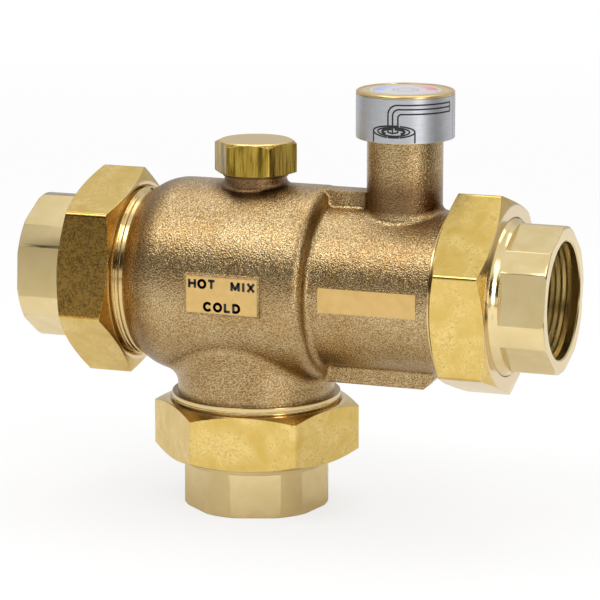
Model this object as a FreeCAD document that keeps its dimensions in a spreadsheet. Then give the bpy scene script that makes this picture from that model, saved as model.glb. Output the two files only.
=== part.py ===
import FreeCAD, Part
import math
import os
import re
import Sketcher

# Three-port thermostatic mixing valve with union connections, in millimetres.
# Origin: centre of the cold port's mouth, on which the valve can stand. The run's axis lies
# as high above it as that port reaches. +X is the run towards the mixed port, -Z the cold
# port, +Y the back. Every sketch is drawn about the crossing of the axes, and each body is
# then placed.

DRIVING_SIZES = [
    # tailpieces: threaded ends with six wrench flats
    ("tail_radius", 28.0),
    ("tail_flat_cut", 1.75),
    ("tail_flat_length", 17.3),
    ("tail_edge", 0.8),
    ("tail_projection", 20.4),
    ("tail_cone_rise", 2.0),
    ("tail_cone_length", 2.9),
    ("tail_flange_rise", 1.6),
    ("tail_flange_width", 4.0),
    ("thread_minor_radius", 22.26),
    ("thread_depth", 20.0),
    ("thread_mouth", 0.5),
    ("waterway_ledge", 1.76),
    ("hot_tail_turn", 3.5),
    ("mix_tail_turn", -9.5),
    ("cold_tail_turn", -19.9),
    # union nuts and gaskets
    ("nut_wall", 2.8),
    ("nut_width", 21.2),
    ("nut_lip", 4.0),
    ("nut_face_drop", 0.4),
    ("nut_chamfer", 2.4),
    ("nut_corner_round", 2.0),
    ("nut_thread_relief", 1.2),
    ("hot_nut_turn", 11.5),
    ("mix_nut_turn", 10.4),
    ("cold_nut_turn", -12.2),
    ("gasket_thickness", 2.0),
    ("gasket_bore", 24.0),
    # cast body, outside
    ("collar_room", 0.6),
    ("collar_ring_rise", 0.4),
    ("collar_ring_width", 1.7),
    ("collar_edge", 1.0),
    ("hot_collar_length", 16.05),
    ("mix_collar_length", 12.95),
    ("cold_collar_length", 14.25),
    ("neck_waist", 1.8),
    ("neck_drop", 6.3),
    ("neck_fillet", 6.0),
    ("barrel_lead", 12.1),
    ("barrel_cone", 9.0),
    ("barrel_shoulder_round", 20.0),
    ("barrel_overhang", 0.6),
    ("barrel_step", 6.7),
    ("barrel_step_round", 4.0),
    ("barrel_step_fillet", 2.4),
    ("tower_offset", 60.2),
    ("tower_radius", 14.4),
    ("tower_height", 31.0),
    ("tower_clearance", 5.0),
    ("tower_fillet", 2.6),
    ("boss_radius", 12.0),
    ("boss_height", 2.9),
    ("boss_fillet", 2.1),
    ("web_half", 4.6),
    ("web_root", 6.0),
    ("web_fillet", 1.6),
    ("top_web_drop", 0.5),
    ("bottom_web_drop", 0.2),
    ("bottom_web_stop", 6.0),
    ("bottom_web_chamfer", 4.0),
    # label places
    ("pad_length", 30.1),
    ("pad_height", 15.5),
    ("pad_centre_x", 0.75),
    ("pad_centre_z", 0.45),
    ("pad_rise", 0.9),
    ("pad_border", 0.7),
    ("pad_recess", 0.5),
    ("label_thickness", 0.3),
    ("strip_length", 38.4),
    ("strip_height", 9.3),
    ("strip_lead", 5.4),
    # cast body, inside
    ("port_bore", 24.0),
    ("chamber_wall", 4.7),
    ("hot_chamber_lead", 9.5),
    ("chamber_cone", 7.0),
    ("mix_bore", 27.0),
    ("mix_wall", 4.0),
    ("neck_bore", 22.0),
    ("neck_floor", 8.0),
    ("cold_slot_width", 24.0),
    ("cold_slot_length", 9.5),
    ("cold_slot_dip", 2.0),
    # cartridge cage in the body
    ("cold_seat_x", 22.0),
    ("hot_window", 5.0),
    ("land_length", 8.0),
    ("cold_window", 8.0),
    ("seat_disc", 3.0),
    ("cage_flange_ledge", 3.0),
    ("cage_flange_wall", 4.5),
    ("cage_flange_width", 5.0),
    ("cage_neck_width", 5.0),
    ("cage_lip_ledge", 1.1),
    ("cage_lip_width", 2.0),
    ("cage_land_room", 0.7),
    ("cage_land_height", 1.6),
    ("cage_post_wall", 2.5),
    ("cold_seat_ledge", 3.6),
    ("cold_seat_width", 3.0),
    ("window_half", 11.0),
    ("cage_clip_width", 1.4),
    ("cage_clip_depth", 1.0),
    ("cage_clip_hold", 0.6),
    ("clip_opening", 6.0),
    # spool, capsule and springs
    ("spool_gap", 3.0),
    ("spool_wall", 2.4),
    ("spool_web", 5.0),
    ("spool_hub_wall", 2.4),
    ("spool_hub_length", 7.0),
    ("spool_window_edge", 0.2),
    ("spool_window_rim", 0.9),
    ("spool_window_low", 5.0),
    ("spool_window_high", 4.4),
    ("capsule_radius", 8.0),
    ("capsule_clearance", 3.2),
    ("capsule_cone", 2.0),
    ("capsule_flange_rise", 2.2),
    ("capsule_flange_width", 2.0),
    ("capsule_neck_wall", 2.44),
    ("capsule_neck_length", 6.0),
    ("piston_radius", 2.5),
    ("piston_depth", 14.0),
    ("piston_end_room", 2.0),
    ("return_wire_radius", 0.9),
    ("return_coil_radius", 9.2),
    ("return_turns", 3.0),
    # carrier moved by the stem
    ("carrier_width", 12.0),
    ("carrier_wall", 4.8),
    ("carrier_web", 5.0),
    ("carrier_hub_wall", 3.94),
    ("carrier_hub_length", 16.0),
    ("carrier_window_edge", 1.0),
    ("carrier_window_rim", 3.5),
    ("carrier_window_low", 5.0),
    ("carrier_window_high", 8.0),
    ("carrier_lip", 1.2),
    ("carrier_lip_room", 1.7),
    ("cup_radius", 6.0),
    ("cup_width", 3.0),
    ("cup_dimple", 1.4),
    ("screw_width", 3.0),
    ("screw_slot", 1.2),
    ("overload_wire_radius", 0.6),
    ("overload_turns", 4.0),
    # adjusting stem, gland and cap
    ("stem_radius", 6.0),
    ("stem_foot_room", 2.0),
    ("stem_projection", 4.0),
    ("stem_collar_rise", 2.8),
    ("stem_collar_width", 4.0),
    ("stem_socket_flats", 8.0),
    ("stem_socket_depth", 8.0),
    ("stem_ring_inset", 6.0),
    ("stem_ring_pitch", 7.0),
    ("pin_radius", 2.5),
    ("pin_offset", 1.5),
    ("pin_length", 6.0),
    ("pin_slot_slack", 0.6),
    ("bush_radius", 9.8),
    ("bush_foot", 9.0),
    ("bush_head_flats", 24.0),
    ("bush_head_height", 4.0),
    ("bush_head_edge", 0.8),
    ("stem_clip_rise", 1.6),
    ("stem_clip_width", 1.0),
    ("stem_clip_groove", 1.2),
    ("cap_room", 2.2),
    ("cap_wall", 1.7),
    ("cap_overlap", 3.5),
    ("cap_height", 18.0),
    ("cap_roof", 2.6),
    ("cap_rim_height", 1.2),
    ("cap_rim_round", 0.96),
    ("cap_rim_width", 1.9),
    ("cap_boss_wall", 2.4),
    ("cap_boss_room", 1.0),
    ("cap_grip_height", 4.0),
    ("band_thickness", 0.35),
    ("band_edge", 0.2),
    ("band_seam", 0.4),
    ("disc_thickness", 0.4),
    ("disc_recess", 0.6),
    # hexagon plug on the barrel
    ("plug_flats", 28.2),
    ("plug_height", 12.6),
    ("plug_chamfer", 1.5),
    ("plug_corner_round", 1.5),
    ("plug_foot_chamfer", 0.5),
    ("plug_face_drop", 0.7),
    ("plug_shank_radius", 9.5),
    ("plug_shank_length", 8.5),
    ("plug_washer", 1.0),
    ("plug_washer_rise", 0.6),
    ("plug_turn", 9.0),
    # fits, small edges, and how far a cut runs past what it cuts
    ("ring_section", 1.5),
    ("ring_side_room", 0.3),
    ("thread_gap", 0.15),
    ("running_gap", 0.06),
    ("sliding_gap", 0.15),
    ("seat_gap", 0.05),
    ("turned_edge", 1.0),
    ("fine_edge", 0.6),
    ("overcut", 1.0),
]

doc = FreeCAD.newDocument("mixing_valve")
sheet = doc.addObject("Spreadsheet::Sheet", "Sizes")
for row, (alias, value) in enumerate(DRIVING_SIZES, start=1):
    sheet.set("A%d" % row, alias)
    sheet.set("B%d" % row, str(value))
    sheet.setAlias("B%d" % row, alias)
doc.recompute()
ALIASES = {alias for alias, value in DRIVING_SIZES}

X_AXIS = FreeCAD.Vector(1, 0, 0)
Y_AXIS = FreeCAD.Vector(0, 1, 0)
Z_AXIS = FreeCAD.Vector(0, 0, 1)


def size(text):
    """The value of a size, or of a formula that only adds and takes away sizes."""
    terms = re.findall(r"([+-]?)[ (]*([a-z_]+)", text)
    return sum(float(sheet.get(alias)) * (-1 if sign == "-" else 1) for sign, alias in terms)


def formula(text):
    """Sizes are written by name alone; the document wants the sheet's name before each."""
    return re.sub(r"[a-z][a-z_]*", lambda m: "Sizes." + m[0] if m[0] in ALIASES else m[0], text)


# ---------------------------------------------------------------- sizes that follow from others

# Unions: radii, and stations from the tail's end face inwards.
TAIL_NECK = "(tail_radius + tail_cone_rise)"
TAIL_FLANGE = "(%s + tail_flange_rise)" % TAIL_NECK
WATERWAY = "(thread_minor_radius - waterway_ledge)"
COLLAR = "(%s + collar_room)" % TAIL_FLANGE
COLLAR_RING = "(%s + collar_ring_rise)" % COLLAR
NUT_BORE = "(%s + thread_gap)" % COLLAR
NUT_HALF = "(%s + nut_wall)" % COLLAR
LIP_FACE = "(tail_projection + nut_lip)"
FLANGE_FACE = "(%s + seat_gap)" % LIP_FACE
GASKET_FACE = "(%s + tail_flange_width)" % FLANGE_FACE
COLLAR_FACE = "(%s + gasket_thickness)" % GASKET_FACE

# Casting: radii about the run and the neck, heights over the run's axis, stations along the run.
NECK = "(%s - neck_waist)" % COLLAR
MIX_BARREL = "(mix_bore + mix_wall)"
BARREL = "(%s + barrel_step)" % MIX_BARREL
CHAMBER = "(%s - chamber_wall)" % BARREL
BARREL_LEFT = "(%s + barrel_lead)" % NECK
BARREL_RIGHT = "(%s + barrel_overhang)" % NECK
MIX_BARREL_END = "(tower_offset + tower_radius + tower_clearance)"
NECK_END = "(%s + neck_drop)" % BARREL
NECK_BORE_TOP = "(%s + neck_floor)" % CHAMBER
TOWER_TOP = "(%s + tower_height)" % MIX_BARREL
BOSS_TOP = "(%s + boss_height)" % BARREL
TOP_WEB = "(%s - top_web_drop)" % BARREL
BOTTOM_WEB = "(%s - bottom_web_drop)" % BARREL
PAD_FRONT = "(%s + pad_rise)" % BARREL
HOT_COLLAR_END = "(%s + hot_collar_length)" % BARREL_LEFT
HOT_FACE = "(-%s)" % HOT_COLLAR_END
MIX_FACE = "(%s + mix_collar_length)" % MIX_BARREL_END
COLD_COLLAR_END = "(%s + cold_collar_length)" % NECK_END
COLD_FACE = "(-%s)" % COLD_COLLAR_END

# How far each port reaches from the crossing, and the way it points.
REACHES = {
    "hot": "(%s + %s)" % (HOT_COLLAR_END, COLLAR_FACE),
    "mix": "(%s + %s)" % (MIX_FACE, COLLAR_FACE),
    "cold": "(%s + %s)" % (COLD_COLLAR_END, COLLAR_FACE),
}
PORTS = {
    "hot": FreeCAD.Vector(-1, 0, 0),
    "mix": FreeCAD.Vector(1, 0, 0),
    "cold": FreeCAD.Vector(0, 0, -1),
}


# ---------------------------------------------------------------- building helpers

def new_body(label):
    body = doc.addObject("PartDesign::Body", label)
    body.Label = label
    place(body)
    return body


def place(body, x="0", z="0"):
    """Puts a body's drawn origin at x and z from the crossing of the axes."""
    body.setExpression("Placement.Base.x", formula(x))
    body.setExpression("Placement.Base.z", formula(REACHES["cold"] + " + " + z))


def new_sketch(body, plane):
    sketch = body.newObject("Sketcher::SketchObject", body.Name + "_sketch")
    origin = [f for f in body.Origin.OriginFeatures if f.Role == plane][0]
    sketch.AttachmentSupport = [(origin, "")]
    sketch.MapMode = "FlatFace"
    return sketch


def add_outline(sketch, corners):
    """A closed outline of straight edges. Each corner is a pair of formulas for its coordinates."""
    count = len(corners)
    first = sketch.GeometryCount
    start = [FreeCAD.Vector(50 * math.cos(2 * math.pi * i / count),
                            50 * math.sin(2 * math.pi * i / count), 0) for i in range(count)]
    for i in range(count):
        sketch.addGeometry(Part.LineSegment(start[i], start[(i + 1) % count]), False)
    for i in range(count):
        after = first + (i + 1) % count
        sketch.addConstraint(Sketcher.Constraint("Coincident", first + i, 2, after, 1))
    for i, (across, up) in enumerate(corners):
        for kind, text, value in (("DistanceX", across, start[i].x), ("DistanceY", up, start[i].y)):
            index = sketch.addConstraint(Sketcher.Constraint(kind, first + i, 1, value))
            sketch.setExpression("Constraints[%d]" % index, formula(text))


def add_circle(sketch, across, up, radius):
    """A circle whose centre and radius are formulas."""
    circle = sketch.addGeometry(Part.Circle(FreeCAD.Vector(1, 1, 0), Z_AXIS, 5), False)
    for kind, text in (("DistanceX", across), ("DistanceY", up)):
        index = sketch.addConstraint(Sketcher.Constraint(kind, circle, 3, 1.0))
        sketch.setExpression("Constraints[%d]" % index, formula(text))
    index = sketch.addConstraint(Sketcher.Constraint("Radius", circle, 5.0))
    sketch.setExpression("Constraints[%d]" % index, formula(radius))


def rectangle(left, right, low, high):
    return [(left, low), (right, low), (right, high), (left, high)]


def corner_radius(half_flats):
    """How far a hexagon's corners reach, from half its size across flats."""
    return "(%s / cos(30 deg))" % half_flats


def hexagon_corners(half_flats, turn):
    """Corners of a hexagon by half its size across flats; one flat's middle is at angle turn."""
    reach = corner_radius(half_flats)
    corners = []
    for degrees in range(30, 390, 60):
        angle = "(%s + %d) * 1 deg" % (turn, degrees)
        corners.append(("%s * cos(%s)" % (reach, angle), "%s * sin(%s)" % (reach, angle)))
    return corners


def on_corner_of(half_flats):
    """Picks the six corner edges of a hexagon about its body's axis, by half its flats."""
    def wanted(edge):
        first, last = edge.ParameterRange
        start, end = edge.valueAt(first), edge.valueAt(last)
        along_axis = near(start.x, end.x) and near(start.y, end.y) and not near(start.z, end.z)
        return along_axis and near(math.hypot(start.x, start.y), half_flats / math.cos(math.pi / 6))
    return wanted


def all_but_hexagon(half_flats, turn):
    """Draws what is cut away to leave a hexagon of a turned blank."""
    def draw(sketch):
        add_circle(sketch, "0", "0", corner_radius(half_flats) + " + overcut")
        add_outline(sketch, hexagon_corners(half_flats, turn))
    return draw


def turned(body, corners, axis="V_Axis", cut=False):
    """Turns an outline about the sketch's upright (V) or level (H) axis, to add or to cut."""
    sketch = new_sketch(body, "XZ_Plane")
    add_outline(sketch, corners)
    kind = "PartDesign::Groove" if cut else "PartDesign::Revolution"
    feature = body.newObject(kind, body.Name + ("_groove" if cut else "_turned"))
    feature.Profile = sketch
    feature.ReferenceAxis = (sketch, [axis])
    feature.Angle = 360
    doc.recompute()
    return feature


def padded(body, draw, plane, length, start="0", both_ways=False):
    """Adds material from a sketch at height start over its plane; draw fills the sketch."""
    sketch = new_sketch(body, plane)
    draw(sketch)
    sketch.setExpression("AttachmentOffset.Base.z", formula(start))
    pad = body.newObject("PartDesign::Pad", body.Name + "_pad")
    pad.Profile = sketch
    pad.Midplane = both_ways
    pad.setExpression("Length", formula(length))
    doc.recompute()
    return pad


def pocketed(body, draw, plane, depth, start="0", both_ways=False, backwards=False):
    """Cuts material with a sketch that lies at height start over its plane."""
    sketch = new_sketch(body, plane)
    draw(sketch)
    sketch.setExpression("AttachmentOffset.Base.z", formula(start))
    doc.recompute()
    before = body.Shape.Volume
    pocket = body.newObject("PartDesign::Pocket", body.Name + "_pocket")
    pocket.Profile = sketch
    pocket.Midplane = both_ways
    pocket.Reversed = backwards
    pocket.setExpression("Length", formula(depth))
    doc.recompute()
    if not pocket.Shape.Volume < before:
        raise RuntimeError("a cut in %s removes nothing" % body.Label)
    return pocket


def patterned(body, feature, axis, copies):
    """Repeats a feature evenly round an axis of the body's frame."""
    pattern = body.newObject("PartDesign::PolarPattern", body.Name + "_pattern")
    pattern.Originals = [feature]
    line = [f for f in body.Origin.OriginFeatures if f.Role == axis][0]
    pattern.Axis = (line, [""])
    pattern.Angle = 360
    pattern.Occurrences = copies
    body.Tip = pattern
    doc.recompute()
    return pattern


def edge_names(shape, wanted):
    return ["Edge%d" % (i + 1) for i, edge in enumerate(shape.Edges) if wanted(edge)]


def dressed(body, kind, amount, wanted):
    """A fillet or a chamfer on every edge that wanted picks out."""
    base = body.Tip
    names = edge_names(base.Shape, wanted)
    if not names:
        raise RuntimeError("no edge to dress on " + body.Label)
    feature = body.newObject("PartDesign::" + kind, body.Name + "_" + kind.lower())
    feature.Base = (base, names)
    feature.setExpression("Radius" if kind == "Fillet" else "Size", formula(amount))
    doc.recompute()
    return feature


def circle_on(axis, station, radius, tolerance=0.02):
    """Picks full or part circles of a given radius whose centre lies on an axis at a station."""
    def wanted(edge):
        curve = edge.Curve
        if not isinstance(curve, Part.Circle) or abs(curve.Radius - radius) > tolerance:
            return False
        centre = curve.Center
        off_axis = (centre - axis * centre.dot(axis)).Length
        return off_axis < tolerance and abs(centre.dot(axis) - station) < tolerance
    return wanted


def lies_on(*surfaces):
    """Picks edges whose sampled points all satisfy every one of the surface tests."""
    def wanted(edge):
        first, last = edge.ParameterRange
        points = [edge.valueAt(first + (last - first) * k / 6) for k in range(1, 6)]
        return all(surface(p) for p in points for surface in surfaces)
    return wanted


def near(value, target, tolerance=0.05):
    return abs(value - target) < tolerance


def below(height):
    """A surface test for points clear below a height."""
    return lambda p: p.z < size(height) - size("overcut")


# ---------------------------------------------------------------- unions, three alike

# Each port has a frame of its own: origin on the tailpiece's end face, +Z out of the mouth.

def set_on_port(body, port):
    """Turns the port's frame so that its X points to the valve's front, and binds its reach."""
    direction = PORTS[port]
    body.Placement.Rotation = FreeCAD.Rotation(-Y_AXIS, FreeCAD.Vector(), direction, "ZXY")
    place(body, "%g * %s" % (direction.x, REACHES[port]), "%g * %s" % (direction.z, REACHES[port]))


def make_tailpiece(port):
    body = new_body(port + "_tailpiece")
    turned(body, [
        ("thread_minor_radius + thread_mouth", "0"),
        ("tail_radius - tail_edge", "0"),
        ("tail_radius", "-tail_edge"),
        ("tail_radius", "tail_cone_length - tail_projection"),
        (TAIL_NECK, "-tail_projection"),
        (TAIL_NECK, "-" + FLANGE_FACE),
        (TAIL_FLANGE, "-" + FLANGE_FACE),
        (TAIL_FLANGE, "-" + GASKET_FACE),
        (WATERWAY, "-" + GASKET_FACE),
        (WATERWAY, "-waterway_ledge - thread_depth"),
        ("thread_minor_radius", "-thread_depth"),
        ("thread_minor_radius", "-thread_mouth"),
    ])

    pocketed(body, all_but_hexagon("(tail_radius - tail_flat_cut)", port + "_tail_turn"),
             "XY_Plane", "tail_flat_length")
    set_on_port(body, port)
    return body


def make_union_nut(port):
    corner = corner_radius(NUT_HALF)
    body = new_body(port + "_union_nut")
    turned(body, [
        (TAIL_NECK + " + thread_gap", "-tail_projection"),
        (NUT_HALF + " - nut_face_drop", "-tail_projection"),
        (corner, "-tail_projection - nut_chamfer"),
        (corner, "nut_chamfer - tail_projection - nut_width"),
        (NUT_HALF + " - nut_face_drop", "-tail_projection - nut_width"),
        (NUT_BORE + " + nut_thread_relief", "-tail_projection - nut_width"),
        (NUT_BORE, "nut_thread_relief - tail_projection - nut_width"),
        (NUT_BORE, "-" + LIP_FACE),
        (TAIL_NECK + " + thread_gap", "-" + LIP_FACE),
    ])
    pocketed(body, all_but_hexagon(NUT_HALF, port + "_nut_turn"),
             "XY_Plane", "tail_projection + nut_width + overcut")
    dressed(body, "Fillet", "nut_corner_round", on_corner_of(size(NUT_HALF)))
    set_on_port(body, port)
    return body


def make_gasket(port):
    body = new_body(port + "_gasket")
    turned(body, rectangle("gasket_bore", TAIL_FLANGE, "-" + COLLAR_FACE, "-" + GASKET_FACE))
    set_on_port(body, port)
    return body


# ---------------------------------------------------------------- the casting

# Stations of the cartridge along the run, each from the one before.
LAND_RIGHT = "(cold_seat_x - cold_window)"
LAND_LEFT = "(%s - land_length)" % LAND_RIGHT
HOT_SEAT = "(%s - hot_window)" % LAND_LEFT
FLANGE_LEFT = "(cold_seat_x + cage_neck_width)"
FLANGE_RIGHT = "(%s + cage_flange_width)" % FLANGE_LEFT

# Radii of the cage, each stepped in from the mixed bore that it is put in through.
CAGE_FLANGE = "(mix_bore - cage_flange_ledge)"
CAGE_LIP = "(%s - cage_lip_ledge)" % CAGE_FLANGE
CAGE_LAND = "(%s - cage_land_room)" % CAGE_LIP
CAGE_POST = "(%s - cage_land_height)" % CAGE_LAND
CAGE_BORE = "(%s - cage_post_wall)" % CAGE_POST


def make_valve_body():
    body = new_body("valve_body")
    # the run: hot collar, barrel with a coned shoulder, narrower mixed barrel, mixed collar
    turned(body, [
        (HOT_FACE, "0"),
        (HOT_FACE, COLLAR + " - collar_edge"),
        (HOT_FACE + " + collar_edge", COLLAR),
        ("-" + BARREL_LEFT, COLLAR),
        ("barrel_cone - " + BARREL_LEFT, BARREL),
        (BARREL_RIGHT, BARREL),
        (BARREL_RIGHT, MIX_BARREL),
        (MIX_BARREL_END, MIX_BARREL),
        (MIX_BARREL_END, COLLAR_RING),
        (MIX_BARREL_END + " + collar_ring_width / 2", COLLAR_RING),
        (MIX_BARREL_END + " + collar_ring_width / 2", COLLAR),
        (MIX_FACE + " - collar_edge", COLLAR),
        (MIX_FACE, COLLAR + " - collar_edge"),
        (MIX_FACE, "0"),
    ], axis="H_Axis")
    barrel = size(BARREL)
    mix_barrel = size(MIX_BARREL)
    step = size(BARREL_RIGHT)
    step_round = "min(barrel_step_round; 0.6 * barrel_step)"
    dressed(body, "Fillet", "barrel_shoulder_round",
            circle_on(X_AXIS, size("barrel_cone") - size(BARREL_LEFT), barrel))
    dressed(body, "Fillet", step_round, circle_on(X_AXIS, step, barrel))
    dressed(body, "Fillet", "min(barrel_step_fillet; 0.36 * barrel_step)",
            circle_on(X_AXIS, step, mix_barrel))
    # the cold neck with its collar
    turned(body, [
        ("0", "0"),
        (NECK, "0"),
        (NECK, "-" + NECK_END),
        (COLLAR_RING, "-" + NECK_END),
        (COLLAR_RING, "-%s - collar_ring_width" % NECK_END),
        (COLLAR, "-%s - collar_ring_width" % NECK_END),
        (COLLAR, COLD_FACE + " + collar_edge"),
        (COLLAR + " - collar_edge", COLD_FACE),
        ("0", COLD_FACE),
    ])
    clear = size("overcut")

    def on_neck(p):
        return near(math.hypot(p.x, p.y), size(NECK)) and clear - size(NECK_END) < p.z < 0

    def on_run(p):
        return math.hypot(p.y, p.z) > mix_barrel - clear

    def on_mix_barrel(p):
        return near(math.hypot(p.y, p.z), mix_barrel)

    dressed(body, "Fillet", "min(neck_fillet; 0.96 * neck_drop)", lies_on(on_neck, on_run))
    # the adjusting tower and the boss for the hexagon plug
    padded(body, lambda sketch: add_circle(sketch, "tower_offset", "0", "tower_radius"),
           "XY_Plane", TOWER_TOP)

    def on_tower(p):
        return near(math.hypot(p.x - size("tower_offset"), p.y), size("tower_radius")) and p.z > clear

    dressed(body, "Fillet", "tower_fillet", lies_on(on_tower, on_run, below(TOWER_TOP)))
    padded(body, lambda sketch: add_circle(sketch, "0", "0", "boss_radius"), "XY_Plane", BOSS_TOP)

    def on_boss(p):
        return near(math.hypot(p.x, p.y), size("boss_radius")) and p.z > clear

    dressed(body, "Fillet", "min(boss_fillet; 0.75 * boss_height)",
            lies_on(on_boss, on_run, below(BOSS_TOP)))
    # the webs above and below the mixed barrel, the lower one with a cut corner
    web_left = "%s - %s" % (BARREL_RIGHT, step_round)
    web_inside = "(%s - web_root)" % MIX_BARREL
    web_end = "(%s - bottom_web_stop)" % MIX_BARREL_END
    padded(body, lambda sketch: add_outline(sketch, rectangle(
        web_left, "tower_offset", web_inside, TOP_WEB)),
        "XZ_Plane", "2 * web_half", both_ways=True)

    def on_web_side(p):
        past_step = p.x > step - size("barrel_step_round")
        return near(abs(p.y), size("web_half")) and past_step and abs(p.z) > mix_barrel - 2 * clear

    dressed(body, "Fillet", "web_fillet", lies_on(on_web_side, below(TOP_WEB), lambda p: p.z > 0))
    padded(body, lambda sketch: add_outline(sketch, [
        (NECK + " - web_root", "-" + web_inside),
        (NECK + " - web_root", "-" + BOTTOM_WEB),
        (web_end + " - bottom_web_chamfer", "-" + BOTTOM_WEB),
        (web_end, "bottom_web_chamfer - " + BOTTOM_WEB),
        (web_end, "-" + web_inside),
    ]), "XZ_Plane", "2 * web_half", both_ways=True)
    dressed(body, "Fillet", "web_fillet", lies_on(on_web_side, on_mix_barrel, lambda p: p.z < 0))
    # the framed pad on the front of the barrel, recessed for its label
    padded(body, lambda sketch: add_outline(sketch, rectangle(
        "pad_centre_x - pad_length / 2", "pad_centre_x + pad_length / 2",
        "pad_centre_z - pad_height / 2", "pad_centre_z + pad_height / 2")),
        "XZ_Plane", PAD_FRONT)
    pocketed(body, lambda sketch: add_outline(sketch, pad_recess_corners("0")),
             "XZ_Plane", "pad_recess", start=PAD_FRONT)
    # the run's waterway: hot chamber, land for the cage, cold chamber, cage seat, mixed bore
    turned(body, [
        (HOT_FACE + " - overcut", "0"),
        (HOT_FACE + " - overcut", "port_bore"),
        ("hot_chamber_lead - %s - chamber_cone" % BARREL_LEFT, "port_bore"),
        ("hot_chamber_lead - " + BARREL_LEFT, CHAMBER),
        (LAND_LEFT, CHAMBER),
        (LAND_LEFT, CAGE_LAND + " + running_gap"),
        (LAND_RIGHT, CAGE_LAND + " + running_gap"),
        (LAND_RIGHT, CHAMBER),
        (FLANGE_LEFT + " - cage_lip_width", CHAMBER),
        (FLANGE_LEFT + " - cage_lip_width", CAGE_LIP),
        (FLANGE_LEFT, CAGE_LIP),
        (FLANGE_LEFT, CAGE_FLANGE + " + running_gap"),
        (FLANGE_RIGHT, CAGE_FLANGE + " + running_gap"),
        (FLANGE_RIGHT, "mix_bore + cage_clip_depth"),
        (FLANGE_RIGHT + " + cage_clip_width", "mix_bore + cage_clip_depth"),
        (FLANGE_RIGHT + " + cage_clip_width", "mix_bore"),
        (MIX_FACE + " + overcut", "mix_bore"),
        (MIX_FACE + " + overcut", "0"),
    ], axis="H_Axis", cut=True)
    # the cold waterway, which reaches the cold chamber through a slot beside the hot chamber
    turned(body, [
        ("0", COLD_FACE + " - overcut"),
        ("neck_bore", COLD_FACE + " - overcut"),
        ("neck_bore", "-" + NECK_BORE_TOP),
        ("0", "-" + NECK_BORE_TOP),
    ], cut=True)
    pocketed(body, lambda sketch: add_outline(sketch, rectangle(
        LAND_RIGHT, LAND_RIGHT + " + cold_slot_length", "-cold_slot_width / 2", "cold_slot_width / 2")),
        "XY_Plane", "%s + cold_slot_dip - %s" % (NECK_BORE_TOP, CAGE_LIP), start="-" + CAGE_LIP)
    # the tower's bore and the plug's hole, each down into its chamber
    pocketed(body, lambda sketch: add_circle(sketch, "tower_offset", "0", "bush_radius"),
             "XY_Plane", "%s - %s" % (TOWER_TOP, CAGE_LIP), start=TOWER_TOP)
    pocketed(body, lambda sketch: add_circle(sketch, "0", "0", "plug_shank_radius"),
             "XY_Plane", "%s - %s" % (BOSS_TOP, CAGE_LIP), start=BOSS_TOP)
    return body


# ---------------------------------------------------------------- labels

def pad_recess_corners(room):
    """Corners of the pad's recess, drawn in by a room for what lies in it."""
    half_length = "(pad_length / 2 - pad_border - %s)" % room
    half_height = "(pad_height / 2 - pad_border - %s)" % room
    return rectangle("pad_centre_x - " + half_length, "pad_centre_x + " + half_length,
                     "pad_centre_z - " + half_height, "pad_centre_z + " + half_height)


def make_port_label():
    body = new_body("port_label")
    padded(body, lambda sketch: add_outline(sketch, pad_recess_corners("seat_gap")),
           "XZ_Plane", "label_thickness", start=PAD_FRONT + " - pad_recess")
    return body


def make_strip_label():
    """A foil strip that follows the mixed barrel's round front."""
    body = new_body("strip_label")
    left = "(%s + strip_lead)" % BARREL_RIGHT
    right = "(%s + strip_length)" % left
    turned(body, rectangle(left, right, MIX_BARREL, MIX_BARREL + " + label_thickness"),
           axis="H_Axis")

    def all_but_strip(sketch):
        outside = "(%s + label_thickness + overcut)" % MIX_BARREL
        add_circle(sketch, "0", "0", outside + " + overcut")
        add_outline(sketch, rectangle("-" + outside, "0", "-strip_height / 2", "strip_height / 2"))

    pocketed(body, all_but_strip, "YZ_Plane", "2 * %s" % right, both_ways=True)
    return body


# ---------------------------------------------------------------- hexagon plug

def make_access_plug():
    half_flats = "(plug_flats / 2)"
    face = half_flats + " - plug_face_drop"
    foot = "(%s + plug_washer)" % BOSS_TOP
    body = new_body("access_plug")
    turned(body, [
        ("0", foot + " - plug_shank_length"),
        ("plug_shank_radius - turned_edge", foot + " - plug_shank_length"),
        ("plug_shank_radius", foot + " - plug_shank_length + turned_edge"),
        ("plug_shank_radius", foot),
        (face, foot),
        (corner_radius(half_flats), foot + " + plug_foot_chamfer"),
        (corner_radius(half_flats), foot + " + plug_height - plug_chamfer"),
        (face, foot + " + plug_height"),
        ("0", foot + " + plug_height"),
    ])
    pocketed(body, all_but_hexagon(half_flats, "plug_turn + 30"), "XY_Plane",
             "plug_height + overcut", start=foot + " + plug_height + overcut")
    dressed(body, "Fillet", "plug_corner_round", on_corner_of(size("plug_flats") / 2))
    return body


def make_plug_washer():
    body = new_body("plug_washer")
    turned(body, rectangle("plug_shank_radius", "boss_radius + plug_washer_rise",
                           BOSS_TOP, BOSS_TOP + " + plug_washer"))
    return body


# ---------------------------------------------------------------- cartridge on the run's axis

GROOVE_HALF = "(ring_section / 2 + ring_side_room)"


def ring_groove(centre, outer):
    """Corners of an O-ring groove cut down from an outer radius, from its low to its high side."""
    low = "%s - %s" % (centre, GROOVE_HALF)
    high = "%s + %s" % (centre, GROOVE_HALF)
    floor = "%s - ring_section - seat_gap" % outer
    return [(low, outer), (low, floor), (high, floor), (high, outer)]


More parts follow.
